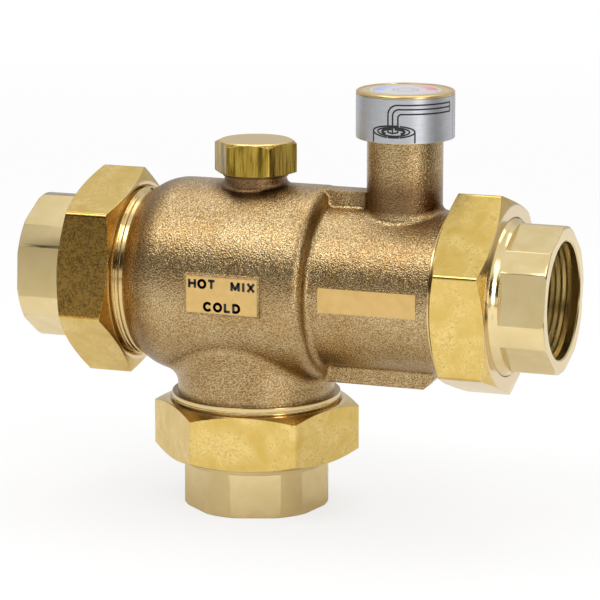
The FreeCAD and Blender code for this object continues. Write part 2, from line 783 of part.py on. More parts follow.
def make_ring(label, centre, outer, on_run=True):
    """An O-ring of round section that just reaches the outer radius, in its groove's middle."""
    body = new_body(label)
    sketch = new_sketch(body, "XZ_Plane")
    middle = "%s - ring_section / 2" % outer
    if on_run:
        add_circle(sketch, centre, middle, "ring_section / 2")
    else:
        add_circle(sketch, middle, centre, "ring_section / 2")
    ring = body.newObject("PartDesign::Revolution", label + "_turned")
    ring.Profile = sketch
    ring.ReferenceAxis = (sketch, ["H_Axis" if on_run else "V_Axis"])
    ring.Angle = 360
    doc.recompute()
    return body


# The spool rests midway: a gap at its hot edge and the same at its cold edge.
SPOOL_LEFT = "(%s + spool_gap)" % HOT_SEAT
SPOOL_RIGHT = "(cold_seat_x - spool_gap)"
SPOOL_RADIUS = "(%s - running_gap)" % CAGE_BORE
SPOOL_BORE = "(%s - spool_wall)" % SPOOL_RADIUS
SPOOL_HUB = "(capsule_radius + spool_hub_wall)"
LAND_RING = "((%s + %s) / 2)" % (LAND_LEFT, LAND_RIGHT)
FLANGE_RING = "((%s + %s) / 2)" % (FLANGE_LEFT, FLANGE_RIGHT)


def make_guide_cage():
    """Carries both seats: a disc on the hot side, an inward lip on the cold side."""
    body = new_body("guide_cage")
    outlet = CAGE_FLANGE + " - cage_flange_wall"
    seat_bore = CAGE_BORE + " - cold_seat_ledge"
    turned(body, [
        (HOT_SEAT + " - seat_disc", "0"),
        (HOT_SEAT + " - seat_disc", CAGE_POST),
        (LAND_LEFT, CAGE_POST),
        (LAND_LEFT, CAGE_LAND),
    ] + ring_groove(LAND_RING, CAGE_LAND) + [
        (LAND_RIGHT, CAGE_LAND),
        (LAND_RIGHT, CAGE_POST),
        (FLANGE_LEFT, CAGE_POST),
        (FLANGE_LEFT, CAGE_FLANGE),
    ] + ring_groove(FLANGE_RING, CAGE_FLANGE) + [
        (FLANGE_RIGHT, CAGE_FLANGE),
        (FLANGE_RIGHT, outlet),
        ("cold_seat_x + cold_seat_width", outlet),
        ("cold_seat_x + cold_seat_width", seat_bore),
        ("cold_seat_x", seat_bore),
        ("cold_seat_x", CAGE_BORE),
        (HOT_SEAT, CAGE_BORE),
        (HOT_SEAT, "0"),
    ], axis="H_Axis")
    for left, right in ((HOT_SEAT, LAND_LEFT), (LAND_RIGHT, "cold_seat_x")):
        window = pocketed(body, lambda sketch: add_outline(sketch, rectangle(
            left, right, "-window_half", "window_half")), "XZ_Plane", CAGE_FLANGE,
            backwards=True)
        patterned(body, window, "X_Axis", 4)
    return body


def make_cage_clip():
    """Snap ring in the mixed bore that holds the cage, with the gap that lets it close."""
    body = new_body("cage_clip")
    turned(body, rectangle(FLANGE_RIGHT, FLANGE_RIGHT + " + cage_clip_width",
                           CAGE_FLANGE + " - cage_clip_hold", "mix_bore + cage_clip_depth"),
           axis="H_Axis")
    pocketed(body, lambda sketch: add_outline(sketch, rectangle(
        FLANGE_RIGHT + " - overcut", FLANGE_RIGHT + " + cage_clip_width + overcut",
        "-clip_opening / 2", "clip_opening / 2")),
        "XZ_Plane", "mix_bore + cage_clip_depth + overcut", backwards=True)
    return body


def make_spool():
    """Shuttle: its left edge closes the hot side as its right edge opens the cold side."""
    body = new_body("spool")
    hub_left = SPOOL_RIGHT + " - spool_hub_length"
    turned(body, [
        (SPOOL_LEFT, SPOOL_BORE),
        (SPOOL_LEFT, SPOOL_RADIUS),
    ] + ring_groove(LAND_RING, SPOOL_RADIUS) + [
        (SPOOL_RIGHT, SPOOL_RADIUS),
        (SPOOL_RIGHT, SPOOL_BORE),
        (SPOOL_RIGHT, "capsule_radius"),
        (hub_left, "capsule_radius"),
        (hub_left, SPOOL_HUB),
        (SPOOL_RIGHT + " - spool_web", SPOOL_HUB),
        (SPOOL_RIGHT + " - spool_web", SPOOL_BORE),
    ], axis="H_Axis")
    window = pocketed(body, lambda sketch: add_outline(sketch, [
        ("-spool_window_low", SPOOL_HUB + " + spool_window_edge"),
        ("spool_window_low", SPOOL_HUB + " + spool_window_edge"),
        ("spool_window_high", SPOOL_BORE + " - spool_window_rim"),
        ("-spool_window_high", SPOOL_BORE + " - spool_window_rim"),
    ]), "YZ_Plane", "spool_web + 2 * overcut", start=SPOOL_RIGHT + " + overcut")
    patterned(body, window, "X_Axis", 4)
    return body


# The carrier's hub stands about the tower's axis; the capsule ends just short of it.
HUB_LEFT = "(tower_offset - carrier_hub_length / 2)"
HUB_RIGHT = "(tower_offset + carrier_hub_length / 2)"
CAPSULE_END = "(%s - capsule_clearance)" % HUB_LEFT
CAPSULE_RIGHT = "(%s - capsule_neck_length)" % CAPSULE_END
CAPSULE_FLANGE_RIGHT = "(%s + capsule_flange_width)" % SPOOL_RIGHT


def make_wax_capsule():
    """Wax-filled element: nose in the spool's hub, flange on its face, guide neck for the rod."""
    body = new_body("wax_capsule")
    nose = SPOOL_RIGHT + " - spool_hub_length"
    flange = "capsule_radius + capsule_flange_rise"
    rod_bore = "piston_radius + running_gap"
    turned(body, [
        (nose, "0"),
        (nose, "capsule_radius - turned_edge"),
        (nose + " + turned_edge", "capsule_radius"),
        (SPOOL_RIGHT, "capsule_radius"),
        (SPOOL_RIGHT, flange),
        (CAPSULE_FLANGE_RIGHT, flange),
        (CAPSULE_FLANGE_RIGHT, "capsule_radius"),
        (CAPSULE_RIGHT + " - capsule_cone", "capsule_radius"),
        (CAPSULE_RIGHT, rod_bore + " + capsule_neck_wall"),
        (CAPSULE_END, rod_bore + " + capsule_neck_wall"),
        (CAPSULE_END, rod_bore),
        (CAPSULE_END + " - piston_depth - piston_end_room", rod_bore),
        (CAPSULE_END + " - piston_depth - piston_end_room", "0"),
    ], axis="H_Axis")
    return body


def make_return_spring():
    """Compression spring between the hot seat disc and the spool's hub."""
    return make_coil("return_spring", HOT_SEAT, SPOOL_RIGHT + " - spool_hub_length",
                     "return_coil_radius", "return_wire_radius", "return_turns")


def make_coil(label, left, right, coil_radius, wire_radius, turns):
    """A coil along the run from one face to another, wound about its mean radius."""
    body = new_body(label)
    sketch = new_sketch(body, "XZ_Plane")
    add_circle(sketch, "%s + %s + seat_gap" % (left, wire_radius), coil_radius, wire_radius)
    coil = body.newObject("PartDesign::AdditiveHelix", label + "_coil")
    coil.Profile = sketch
    coil.ReferenceAxis = (sketch, ["H_Axis"])
    coil.Mode = "height-turns-angle"
    span = "(%s) - (%s) - 2 * %s - 2 * seat_gap" % (right, left, wire_radius)
    coil.setExpression("Height", formula(span))
    coil.setExpression("Turns", formula(turns))
    coil.Angle = 0
    coil.Growth = 0
    doc.recompute()
    return body


# ---------------------------------------------------------------- carrier moved by the stem

CARRIER_RADIUS = "(mix_bore - sliding_gap)"
CUP_BORE = "(cup_radius + running_gap)"
CUP_LEFT = "(%s + carrier_lip)" % HUB_LEFT
SPRING_LEFT = "(%s + cup_width)" % CUP_LEFT
SCREW_LEFT = "(%s - screw_width)" % HUB_RIGHT
PISTON_LEFT = "(%s - piston_depth)" % CAPSULE_END
PISTON_RIGHT = "(%s + cup_dimple)" % CUP_LEFT
STEM_FOOT = "(mix_bore + stem_foot_room)"


def make_carrier():
    """Yoke that slides in the mixed bore; a slot in its rim takes the stem's eccentric pin."""
    body = new_body("carrier")
    rim_bore = "(%s - carrier_wall)" % CARRIER_RADIUS
    hub = "(%s + carrier_hub_wall)" % CUP_BORE
    lip_bore = "piston_radius + carrier_lip_room"
    turned(body, [
        (HUB_LEFT, lip_bore),
        (HUB_LEFT, hub),
        ("tower_offset - carrier_web / 2", hub),
        ("tower_offset - carrier_web / 2", rim_bore),
        ("tower_offset - carrier_width / 2", rim_bore),
        ("tower_offset - carrier_width / 2", CARRIER_RADIUS),
        ("tower_offset + carrier_width / 2", CARRIER_RADIUS),
        ("tower_offset + carrier_width / 2", rim_bore),
        ("tower_offset + carrier_web / 2", rim_bore),
        ("tower_offset + carrier_web / 2", hub),
        (HUB_RIGHT, hub),
        (HUB_RIGHT, CUP_BORE),
        (CUP_LEFT, CUP_BORE),
        (CUP_LEFT, lip_bore),
    ], axis="H_Axis")
    window = pocketed(body, lambda sketch: add_outline(sketch, [
        ("-carrier_window_low", hub + " + carrier_window_edge"),
        ("carrier_window_low", hub + " + carrier_window_edge"),
        ("carrier_window_high", rim_bore + " - carrier_window_rim"),
        ("-carrier_window_high", rim_bore + " - carrier_window_rim"),
    ]), "YZ_Plane", "carrier_web + 2 * overcut", start="tower_offset + carrier_web / 2 + overcut")
    patterned(body, window, "X_Axis", 4)
    slot_half_width = "(pin_radius + pin_slot_slack)"
    slot_half_length = "(pin_radius + pin_offset + pin_slot_slack)"
    pocketed(body, lambda sketch: add_outline(sketch, rectangle(
        "tower_offset - " + slot_half_width, "tower_offset + " + slot_half_width,
        "-" + slot_half_length, slot_half_length)),
        "XY_Plane", "pin_length - stem_foot_room + overcut", start="mix_bore")
    return body


def make_capsule_piston():
    body = new_body("capsule_piston")
    turned(body, [
        (PISTON_LEFT, "0"),
        (PISTON_LEFT, "piston_radius"),
        (PISTON_RIGHT + " - fine_edge", "piston_radius"),
        (PISTON_RIGHT, "piston_radius - fine_edge"),
        (PISTON_RIGHT, "0"),
    ], axis="H_Axis")
    return body


def make_spring_cup():
    body = new_body("spring_cup")
    turned(body, [
        (PISTON_RIGHT, "0"),
        (PISTON_RIGHT, "piston_radius"),
        (CUP_LEFT, "piston_radius"),
        (CUP_LEFT, "cup_radius"),
        (SPRING_LEFT, "cup_radius"),
        (SPRING_LEFT, "0"),
    ], axis="H_Axis")
    return body


def make_overload_spring():
    return make_coil("overload_spring", SPRING_LEFT, SCREW_LEFT,
                     "cup_radius - overload_wire_radius - sliding_gap",
                     "overload_wire_radius", "overload_turns")


def make_spring_screw():
    body = new_body("spring_screw")
    turned(body, rectangle(SCREW_LEFT, HUB_RIGHT, "0", CUP_BORE), axis="H_Axis")
    pocketed(body, lambda sketch: add_outline(sketch, rectangle(
        "-cup_radius - overcut", "cup_radius + overcut", "-screw_slot / 2", "screw_slot / 2")),
        "YZ_Plane", "screw_width / 2", start=HUB_RIGHT)
    return body


# ---------------------------------------------------------------- stem, gland and cap

STEM_BORE = "(stem_radius + running_gap)"
BUSH_BOTTOM = "(%s + bush_foot)" % MIX_BARREL
BUSH_TOP = "(%s + bush_head_height)" % TOWER_TOP
STEM_COLLAR_TOP = "(%s - seat_gap)" % BUSH_BOTTOM
STEM_TOP = "(%s + stem_projection)" % BUSH_TOP
STEM_CLIP_LOW = "(%s + seat_gap)" % BUSH_TOP
STEM_CLIP_HIGH = "(%s + stem_clip_width)" % STEM_CLIP_LOW
STEM_CLIP_RADIUS = "(stem_radius + stem_clip_rise)"
LOWER_RING = "(%s + stem_ring_inset)" % BUSH_BOTTOM
UPPER_RING = "(%s + stem_ring_pitch)" % LOWER_RING


def tower_turned(body, corners, cut=False):
    """Turns an outline about the tower's axis; the body is drawn on Z and placed on the tower."""
    turned(body, corners, cut=cut)
    place(body, "tower_offset")


def make_adjusting_stem():
    """Stem with a hexagon socket on top, two ring grooves and an eccentric pin at its foot."""
    body = new_body("adjusting_stem")
    collar = "(stem_radius + stem_collar_rise)"
    corners = [
        ("0", STEM_FOOT),
        ("stem_radius", STEM_FOOT),
        ("stem_radius", STEM_COLLAR_TOP + " - stem_collar_width"),
        (collar, STEM_COLLAR_TOP + " - stem_collar_width"),
        (collar, STEM_COLLAR_TOP),
        ("stem_radius", STEM_COLLAR_TOP),
    ]
    for centre in (LOWER_RING, UPPER_RING):
        corners += [(radius, height) for height, radius in ring_groove(centre, "stem_radius")]
    corners += [
        ("stem_radius", STEM_CLIP_LOW),
        ("stem_radius - stem_clip_groove", STEM_CLIP_LOW),
        ("stem_radius - stem_clip_groove", STEM_CLIP_HIGH),
        ("stem_radius", STEM_CLIP_HIGH),
        ("stem_radius", STEM_TOP + " - fine_edge"),
        ("stem_radius - fine_edge", STEM_TOP),
        ("0", STEM_TOP),
    ]
    tower_turned(body, corners)
    half_flats = "(stem_socket_flats / 2)"
    pocketed(body, lambda sketch: add_outline(sketch, hexagon_corners(half_flats, "0")),
             "XY_Plane", "stem_socket_depth", start=STEM_TOP)
    padded(body, lambda sketch: add_circle(sketch, "0", "-pin_offset", "pin_radius"),
           "XY_Plane", "pin_length", start=STEM_FOOT + " - pin_length")
    return body


def make_stem_ring(label, centre):
    body = make_ring(label, centre, "stem_radius", on_run=False)
    place(body, "tower_offset")
    return body


def make_stem_clip():
    """Open retaining clip that sits in the stem's groove on top of the gland bush."""
    body = new_body("stem_clip")
    tower_turned(body, rectangle("stem_radius - stem_clip_groove", STEM_CLIP_RADIUS,
                                 STEM_CLIP_LOW, STEM_CLIP_HIGH))
    pocketed(body, lambda sketch: add_outline(sketch, rectangle(
        "0", STEM_CLIP_RADIUS + " + overcut", "-clip_opening / 2", "clip_opening / 2")),
        "XY_Plane", "stem_clip_width + 2 * overcut", start=STEM_CLIP_HIGH + " + overcut")
    return body


def make_gland_bush():
    """Hexagon-headed bush screwed into the tower; the stem turns in its bore."""
    half_flats = "(bush_head_flats / 2)"
    body = new_body("gland_bush")
    tower_turned(body, [
        (STEM_BORE, BUSH_BOTTOM),
        ("bush_radius - turned_edge", BUSH_BOTTOM),
        ("bush_radius", BUSH_BOTTOM + " + turned_edge"),
        ("bush_radius", TOWER_TOP),
        (corner_radius(half_flats), TOWER_TOP),
        (corner_radius(half_flats), BUSH_TOP + " - bush_head_edge"),
        (half_flats + " - bush_head_edge / 2", BUSH_TOP),
        (STEM_BORE, BUSH_TOP),
    ])
    pocketed(body, all_but_hexagon(half_flats, "0"), "XY_Plane", "bush_head_height", start=BUSH_TOP)
    return body


CAP_RADIUS = "(tower_radius + cap_room + cap_wall)"
CAP_BORE = "(tower_radius + cap_room)"
BAND_RADIUS = "(%s + band_thickness)" % CAP_RADIUS
CAP_BOTTOM = "(%s - cap_overlap)" % TOWER_TOP
CAP_TOP = "(%s + cap_height)" % CAP_BOTTOM
RIM_LOW = "(%s - cap_rim_height)" % CAP_TOP
DISC_LOW = "(%s - disc_recess)" % CAP_TOP
ROOF_LOW = "(%s - cap_roof)" % DISC_LOW


def make_cap_shell():
    """Turned cup: rim round the dial, ring under the roof that rests on the gland bush."""
    body = new_body("cap_shell")
    boss_bore = STEM_CLIP_RADIUS + " + cap_boss_room"
    tower_turned(body, [
        (CAP_BORE, CAP_BOTTOM),
        (CAP_RADIUS, CAP_BOTTOM),
        (CAP_RADIUS, RIM_LOW),
        (BAND_RADIUS, RIM_LOW),
        (BAND_RADIUS, CAP_TOP),
        (BAND_RADIUS + " - cap_rim_width", CAP_TOP),
        (BAND_RADIUS + " - cap_rim_width", DISC_LOW),
        ("0", DISC_LOW),
        ("0", ROOF_LOW),
        (boss_bore, ROOF_LOW),
        (boss_bore, BUSH_TOP + " + seat_gap"),
        (boss_bore + " + cap_boss_wall", BUSH_TOP + " + seat_gap"),
        (boss_bore + " + cap_boss_wall", ROOF_LOW),
        (CAP_BORE, ROOF_LOW),
    ])
    dressed(body, "Fillet", "min(cap_rim_round; 0.8 * cap_rim_height)",
            circle_on(Z_AXIS, size(CAP_TOP), size(BAND_RADIUS)))
    return body


def make_cap_grip():
    """Plastic ring in the cap's mouth that grips the tower."""
    body = new_body("cap_grip")
    tower_turned(body, rectangle("tower_radius + running_gap", CAP_BORE,
                                 CAP_BOTTOM, CAP_BOTTOM + " + cap_grip_height"))
    return body


def make_cap_band():
    """Printed metal band wrapped round the cap, its two ends meeting in a seam at the right."""
    body = new_body("cap_band")
    tower_turned(body, rectangle(CAP_RADIUS, BAND_RADIUS,
                                 CAP_BOTTOM + " + band_edge", RIM_LOW + " - band_edge"))
    pocketed(body, lambda sketch: add_outline(sketch, rectangle(
        "0", BAND_RADIUS + " + overcut", "-band_seam / 2", "band_seam / 2")),
        "XY_Plane", "cap_height", start=CAP_TOP)
    return body


def make_dial_disc():
    body = new_body("dial_disc")
    tower_turned(body, rectangle("0", BAND_RADIUS + " - cap_rim_width - seat_gap",
                                 DISC_LOW, DISC_LOW + " + disc_thickness"))
    return body


PIECES = [
    make_valve_body(),
    make_port_label(),
    make_strip_label(),
    make_access_plug(),
    make_plug_washer(),
    make_guide_cage(),
    make_ring("cage_ring_hot", LAND_RING, CAGE_LAND),
    make_ring("cage_ring_cold", FLANGE_RING, CAGE_FLANGE),
    make_cage_clip(),
    make_spool(),
    make_ring("spool_ring", LAND_RING, SPOOL_RADIUS),
    make_wax_capsule(),
    make_return_spring(),
    make_carrier(),
    make_capsule_piston(),
    make_spring_cup(),
    make_overload_spring(),
    make_spring_screw(),
    make_adjusting_stem(),
    make_stem_ring("stem_ring_lower", LOWER_RING),
    make_stem_ring("stem_ring_upper", UPPER_RING),
    make_stem_clip(),
    make_gland_bush(),
    make_cap_shell(),
    make_cap_grip(),
    make_cap_band(),
    make_dial_disc(),
]
for port in PORTS:
    PIECES += [make_tailpiece(port), make_union_nut(port), make_gasket(port)]

doc.recompute()
failed = [o.Label for o in doc.Objects if "Invalid" in o.State or "Error" in o.State]
if failed:
    raise RuntimeError("failed features: " + ", ".join(failed))
for piece in PIECES:
    if piece.Shape.isNull() or not piece.Shape.isValid():
        raise RuntimeError("bad shape: " + piece.Label)
os.makedirs("parts", exist_ok=True)
for piece in PIECES:
    piece.Shape.exportStep(os.path.join("parts", piece.Label + ".step"))
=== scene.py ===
import math

import bmesh
import bpy
from mathutils import Matrix, Vector


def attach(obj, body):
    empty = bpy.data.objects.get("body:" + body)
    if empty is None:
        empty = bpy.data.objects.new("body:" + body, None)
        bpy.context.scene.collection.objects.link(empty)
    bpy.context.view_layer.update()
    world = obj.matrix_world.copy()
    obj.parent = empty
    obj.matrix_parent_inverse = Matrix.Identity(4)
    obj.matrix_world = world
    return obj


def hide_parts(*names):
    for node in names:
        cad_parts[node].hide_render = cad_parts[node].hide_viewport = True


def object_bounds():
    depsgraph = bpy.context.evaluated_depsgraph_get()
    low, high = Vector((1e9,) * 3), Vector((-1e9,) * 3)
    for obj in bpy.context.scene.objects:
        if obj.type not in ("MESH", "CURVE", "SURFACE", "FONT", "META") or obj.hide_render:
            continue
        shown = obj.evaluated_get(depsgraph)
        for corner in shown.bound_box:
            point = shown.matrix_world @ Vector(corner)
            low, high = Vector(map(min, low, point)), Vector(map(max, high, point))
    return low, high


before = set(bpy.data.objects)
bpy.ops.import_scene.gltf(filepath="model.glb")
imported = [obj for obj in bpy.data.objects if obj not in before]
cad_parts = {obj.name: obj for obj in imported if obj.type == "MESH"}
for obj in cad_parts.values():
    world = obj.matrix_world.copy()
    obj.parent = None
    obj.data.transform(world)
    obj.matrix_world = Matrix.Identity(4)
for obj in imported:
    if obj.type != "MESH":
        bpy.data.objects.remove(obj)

cad_low, cad_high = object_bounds()

# ------------------------------------------------------------------ studio
# The valve stands on its cold union on a pale floor under broad soft lamps. The sky is bright
# overhead and dark in a low band in front, as an unlit studio is behind a camera, and the
# turned and forged brass mirrors that band.
camera_azimuth = math.radians(20.235)
camera_rise = math.radians(11.909)
facing = Vector((math.sin(camera_azimuth), -math.cos(camera_azimuth), 0))


def new_node(tree, kind, **settings):
    """A node with its own settings, and with values for input sockets by number or name."""
    node = tree.nodes.new(kind)
    for key, value in settings.items():
        if key == "values":
            for socket, number in value.items():
                node.inputs[socket].default_value = number
        else:
            setattr(node, key, value)
    return node


def ramp_node(tree, source, stops):
    """A colour ramp fed by a value. Each stop is (position, colour) or (position, grey level)."""
    ramp = tree.nodes.new("ShaderNodeValToRGB")
    points = ramp.color_ramp.elements
    while len(points) < len(stops):
        points.new(0.5)
    for point, (position, colour) in zip(points, stops):
        point.position = position
        point.color = (*colour, 1) if isinstance(colour, tuple) else (colour, colour, colour, 1)
    tree.links.new(source, ramp.inputs["Fac"])
    return ramp.outputs["Color"]


def math_node(tree, operation, *terms, clamp=False):
    """A math node whose terms are sockets or numbers."""
    node = tree.nodes.new("ShaderNodeMath")
    node.operation = operation
    node.use_clamp = clamp
    for index, term in enumerate(terms):
        if isinstance(term, (int, float)):
            node.inputs[index].default_value = term
        else:
            tree.links.new(term, node.inputs[index])
    return node.outputs["Value"]


def rise(tree, value, start, end):
    """A mask that goes straight from 0 where the value is at start to 1 where it is at end."""
    return math_node(tree, "MULTIPLY_ADD", value, 1 / (end - start), -start / (end - start), clamp=True)


def mix_colours(tree, share, first, second, blend="MIX"):
    """Mixes two colours, each a socket or a triple, by a share that is a socket or a number."""
    node = tree.nodes.new("ShaderNodeMix")
    node.data_type = "RGBA"
    node.blend_type = blend
    for name, term in (("Factor_Float", share), ("A_Color", first), ("B_Color", second)):
        socket = [s for s in node.inputs if s.identifier == name][0]
        if isinstance(term, tuple):
            socket.default_value = (*term, 1)
        elif isinstance(term, (int, float)):
            socket.default_value = term
        else:
            tree.links.new(term, socket)
    return [s for s in node.outputs if s.identifier == "Result_Color"][0]


def start_material(name, roughness, metallic=1.0):
    """A new node material with its shader and its object coordinates."""
    material = bpy.data.materials.new(name)
    material.use_nodes = True
    tree = material.node_tree
    shader = tree.nodes["Principled BSDF"]
    shader.inputs["Roughness"].default_value = roughness
    shader.inputs["Metallic"].default_value = metallic
    return material, tree, shader, tree.nodes.new("ShaderNodeTexCoord").outputs["Object"]


def split_node(tree, place):
    """The X, Y and Z of a place."""
    split = new_node(tree, "ShaderNodeSeparateXYZ")
    tree.links.new(place, split.inputs["Vector"])
    return split.outputs


def made_piece(name, shape, *materials):
    """An object in the scene made of a bmesh, which is freed, with its materials in slot order."""
    mesh = bpy.data.meshes.new(name)
    shape.to_mesh(mesh)
    shape.free()
    for material in materials:
        mesh.materials.append(material)
    piece = bpy.data.objects.new(name, mesh)
    bpy.context.scene.collection.objects.link(piece)
    return piece


world = bpy.data.worlds.new("studio_sky")
bpy.context.scene.world = world
world.use_nodes = True
tree = world.node_tree
tree.nodes.clear()
sky_out = new_node(tree, "ShaderNodeOutputWorld")
sky_seen = new_node(tree, "ShaderNodeBackground", values={"Color": (1, 1, 1, 1), "Strength": 1.0})
sky_light = new_node(tree, "ShaderNodeBackground", values={"Strength": 0.9})
sky_place = new_node(tree, "ShaderNodeTexCoord").outputs["Generated"]
sky_height = split_node(tree, sky_place)["Z"]
sky_front = ramp_node(tree, sky_height, [(0.0, 1.0), (0.135, 1.0), (0.17, 0.03), (0.5, 0.05), (0.66, 1.15)])
sky_back = ramp_node(tree, sky_height, [(0.0, 0.6), (0.1, 0.7), (0.4, 0.75), (0.7, 1.0)])
sky_side = new_node(tree, "ShaderNodeVectorMath", operation="DOT_PRODUCT", values={1: facing})
tree.links.new(sky_place, sky_side.inputs[0])
sky_share = rise(tree, sky_side.outputs["Value"], -0.15, 0.25)
tree.links.new(mix_colours(tree, sky_share, sky_back, sky_front), sky_light.inputs["Color"])
sky_mix = new_node(tree, "ShaderNodeMixShader")
tree.links.new(new_node(tree, "ShaderNodeLightPath").outputs["Is Camera Ray"], sky_mix.inputs["Fac"])
tree.links.new(sky_light.outputs["Background"], sky_mix.inputs[1])
tree.links.new(sky_seen.outputs["Background"], sky_mix.inputs[2])
tree.links.new(sky_mix.outputs["Shader"], sky_out.inputs["Surface"])

# Painted light and shade for what mirrors the floor: a painted pool of light that fades with
# distance from a lit spot in front, painted bright behind the valve, and a painted dark patch out
# to the right past the mixed port. The camera sees it pale, and white from further off.
paper, tree, shader, place = start_material("floor_paper", 0.9, metallic=0.0)
shader.inputs["Specular IOR Level"].default_value = 0.1
# the floor glows faintly for every ray: a painted glow that lights the valve from below, though the floor is
# no lamp
shader.inputs["Emission Color"].default_value = (1, 1, 1, 1)
shader.inputs["Emission Strength"].default_value = 0.03
lit_spot = (0.12, -0.45, 0)
reach = new_node(tree, "ShaderNodeVectorMath", operation="DISTANCE", values={1: lit_spot})
tree.links.new(place, reach.inputs[0])
# painted pool of light: the floor's tone falls off with distance from the lit spot
tone = ramp_node(tree, reach.outputs["Value"],
                 [(0.3, 1.0), (0.86, (0.75, 0.73, 0.7)), (1.0, (0.3, 0.28, 0.25))])
split = split_node(tree, place)
tone = mix_colours(tree, rise(tree, split["Y"], 0.2, 0.4), tone, (1.0, 1.0, 1.0))
# painted shade: a dark patch on the floor out to the right, seen only in reflections
aside = math_node(tree, "ABSOLUTE", math_node(tree, "SUBTRACT", split["Y"], 0.05))
dark = math_node(tree, "MULTIPLY", rise(tree, aside, 0.3, 0.2), rise(tree, split["X"], 0.267, 0.35))
tone = mix_colours(tree, dark, tone, (0.03, 0.02, 0.015))
seen = new_node(tree, "ShaderNodeLightPath").outputs["Is Camera Ray"]
tree.links.new(mix_colours(tree, seen, tone, (0.9, 0.9, 0.9)), shader.inputs["Base Color"])
glow = new_node(tree, "ShaderNodeEmission", values={"Color": (1, 1, 1, 1)})
glow_share = new_node(tree, "ShaderNodeMapRange", values={"From Min": 0.75, "From Max": 1.8, "To Min": 0.7})
tree.links.new(reach.outputs["Value"], glow_share.inputs["Value"])
paper_mix = new_node(tree, "ShaderNodeMixShader")
tree.links.new(math_node(tree, "MULTIPLY", seen, glow_share.outputs["Result"]), paper_mix.inputs["Fac"])
tree.links.new(shader.outputs["BSDF"], paper_mix.inputs[1])
tree.links.new(glow.outputs["Emission"], paper_mix.inputs[2])
tree.links.new(paper_mix.outputs["Shader"], tree.nodes["Material Output"].inputs["Surface"])

floor_reach = 3.0
floor_shape = bmesh.new()
bmesh.ops.create_grid(floor_shape, x_segments=1, y_segments=1, size=floor_reach)
bmesh.ops.translate(floor_shape, verts=floor_shape.verts, vec=(0, 0, cad_low.z))
floor = made_piece("floor", floor_shape, paper)


def hang_lamp(name, place, towards, width, height, power):
    """A rectangular soft lamp that faces a point."""
    lamp = bpy.data.lights.new(name, "AREA")
    lamp.shape = "RECTANGLE"
    lamp.size = width
    lamp.size_y = height
    lamp.energy = power
    holder = bpy.data.objects.new(name, lamp)
    bpy.context.scene.collection.objects.link(holder)
    holder.location = place
    holder.rotation_euler = (Vector(towards) - Vector(place)).to_track_quat("-Z", "Y").to_euler()


centre = (cad_low + cad_high) / 2
hang_lamp("lamp_key", (-0.3, -0.62, 1.05), centre, 0.7, 0.35, 2.8)
hang_lamp("lamp_right", (0.8, -0.45, 0.7), centre, 0.3, 0.5, 1.2)
hang_lamp("lamp_top", (0.0, 0.25, 0.9), centre, 0.8, 0.4, 1.7)
hang_lamp("lamp_strip", (1.02, -0.8, 0.35), centre, 0.25, 0.6, 2.6)

camera_reach = 1.2758
camera_data = bpy.data.cameras.new("camera")
camera_data.sensor_width = 36
camera_data.lens = 199.2
camera_data.clip_end = 20
camera = bpy.data.objects.new("camera", camera_data)
bpy.context.scene.collection.objects.link(camera)
camera_aim = Vector((0.018029, 0, 0.081369))
camera_back = facing * math.cos(camera_rise) + Vector((0, 0, math.sin(camera_rise)))
camera.location = camera_aim + camera_back * camera_reach
camera.rotation_euler = (-camera_back).to_track_quat("-Z", "Y").to_euler()
bpy.context.scene.camera = camera
bpy.context.scene.view_settings.view_transform = "Standard"

# ------------------------------------------------------------------ cast body
# Sand-cast bronze, bead blasted: a fine even grain with bright points, browner underneath.
# The collars, their rings and the bores are turned after casting and stay bright.
run_height = 0.0887


def new_group(name, inputs, outputs):
    """An empty shader group. Each socket is (name, kind) or (name, kind, value)."""
    group = bpy.data.node_groups.new(name, "ShaderNodeTree")
    for socket in inputs:
        made = group.interface.new_socket(socket[0], in_out="INPUT", socket_type=socket[1])
        if len(socket) > 2:
            made.default_value = socket[2]
    for socket in outputs:
        group.interface.new_socket(socket[0], in_out="OUTPUT", socket_type=socket[1])
    entry = group.nodes.new("NodeGroupInput")
    leave = group.nodes.new("NodeGroupOutput")
    return group, entry, leave


# Edges: where a rounded normal departs from the true one, an edge is near. Its mask paints highlights or
# dark reflections along edges, and the rounded normal softens them.
edge_group, edge_in, edge_out = new_group(
    "edge_bevel_mask", [("Radius", "NodeSocketFloat", 0.0004), ("Gain", "NodeSocketFloat", 6.0)],
    [("Edge", "NodeSocketFloat"), ("Normal", "NodeSocketVector")])
edge_round = new_node(edge_group, "ShaderNodeBevel", samples=6)
edge_flat = new_node(edge_group, "ShaderNodeNewGeometry")
edge_dot = new_node(edge_group, "ShaderNodeVectorMath", operation="DOT_PRODUCT")
edge_group.links.new(edge_in.outputs["Radius"], edge_round.inputs["Radius"])
edge_group.links.new(edge_round.outputs["Normal"], edge_dot.inputs[0])
edge_group.links.new(edge_flat.outputs["Normal"], edge_dot.inputs[1])
edge_apart = math_node(edge_group, "SUBTRACT", 1.0, edge_dot.outputs["Value"])
edge_group.links.new(
    math_node(edge_group, "MULTIPLY", edge_apart, edge_in.outputs["Gain"], clamp=True),
    edge_out.inputs["Edge"])
edge_group.links.new(edge_round.outputs["Normal"], edge_out.inputs["Normal"])

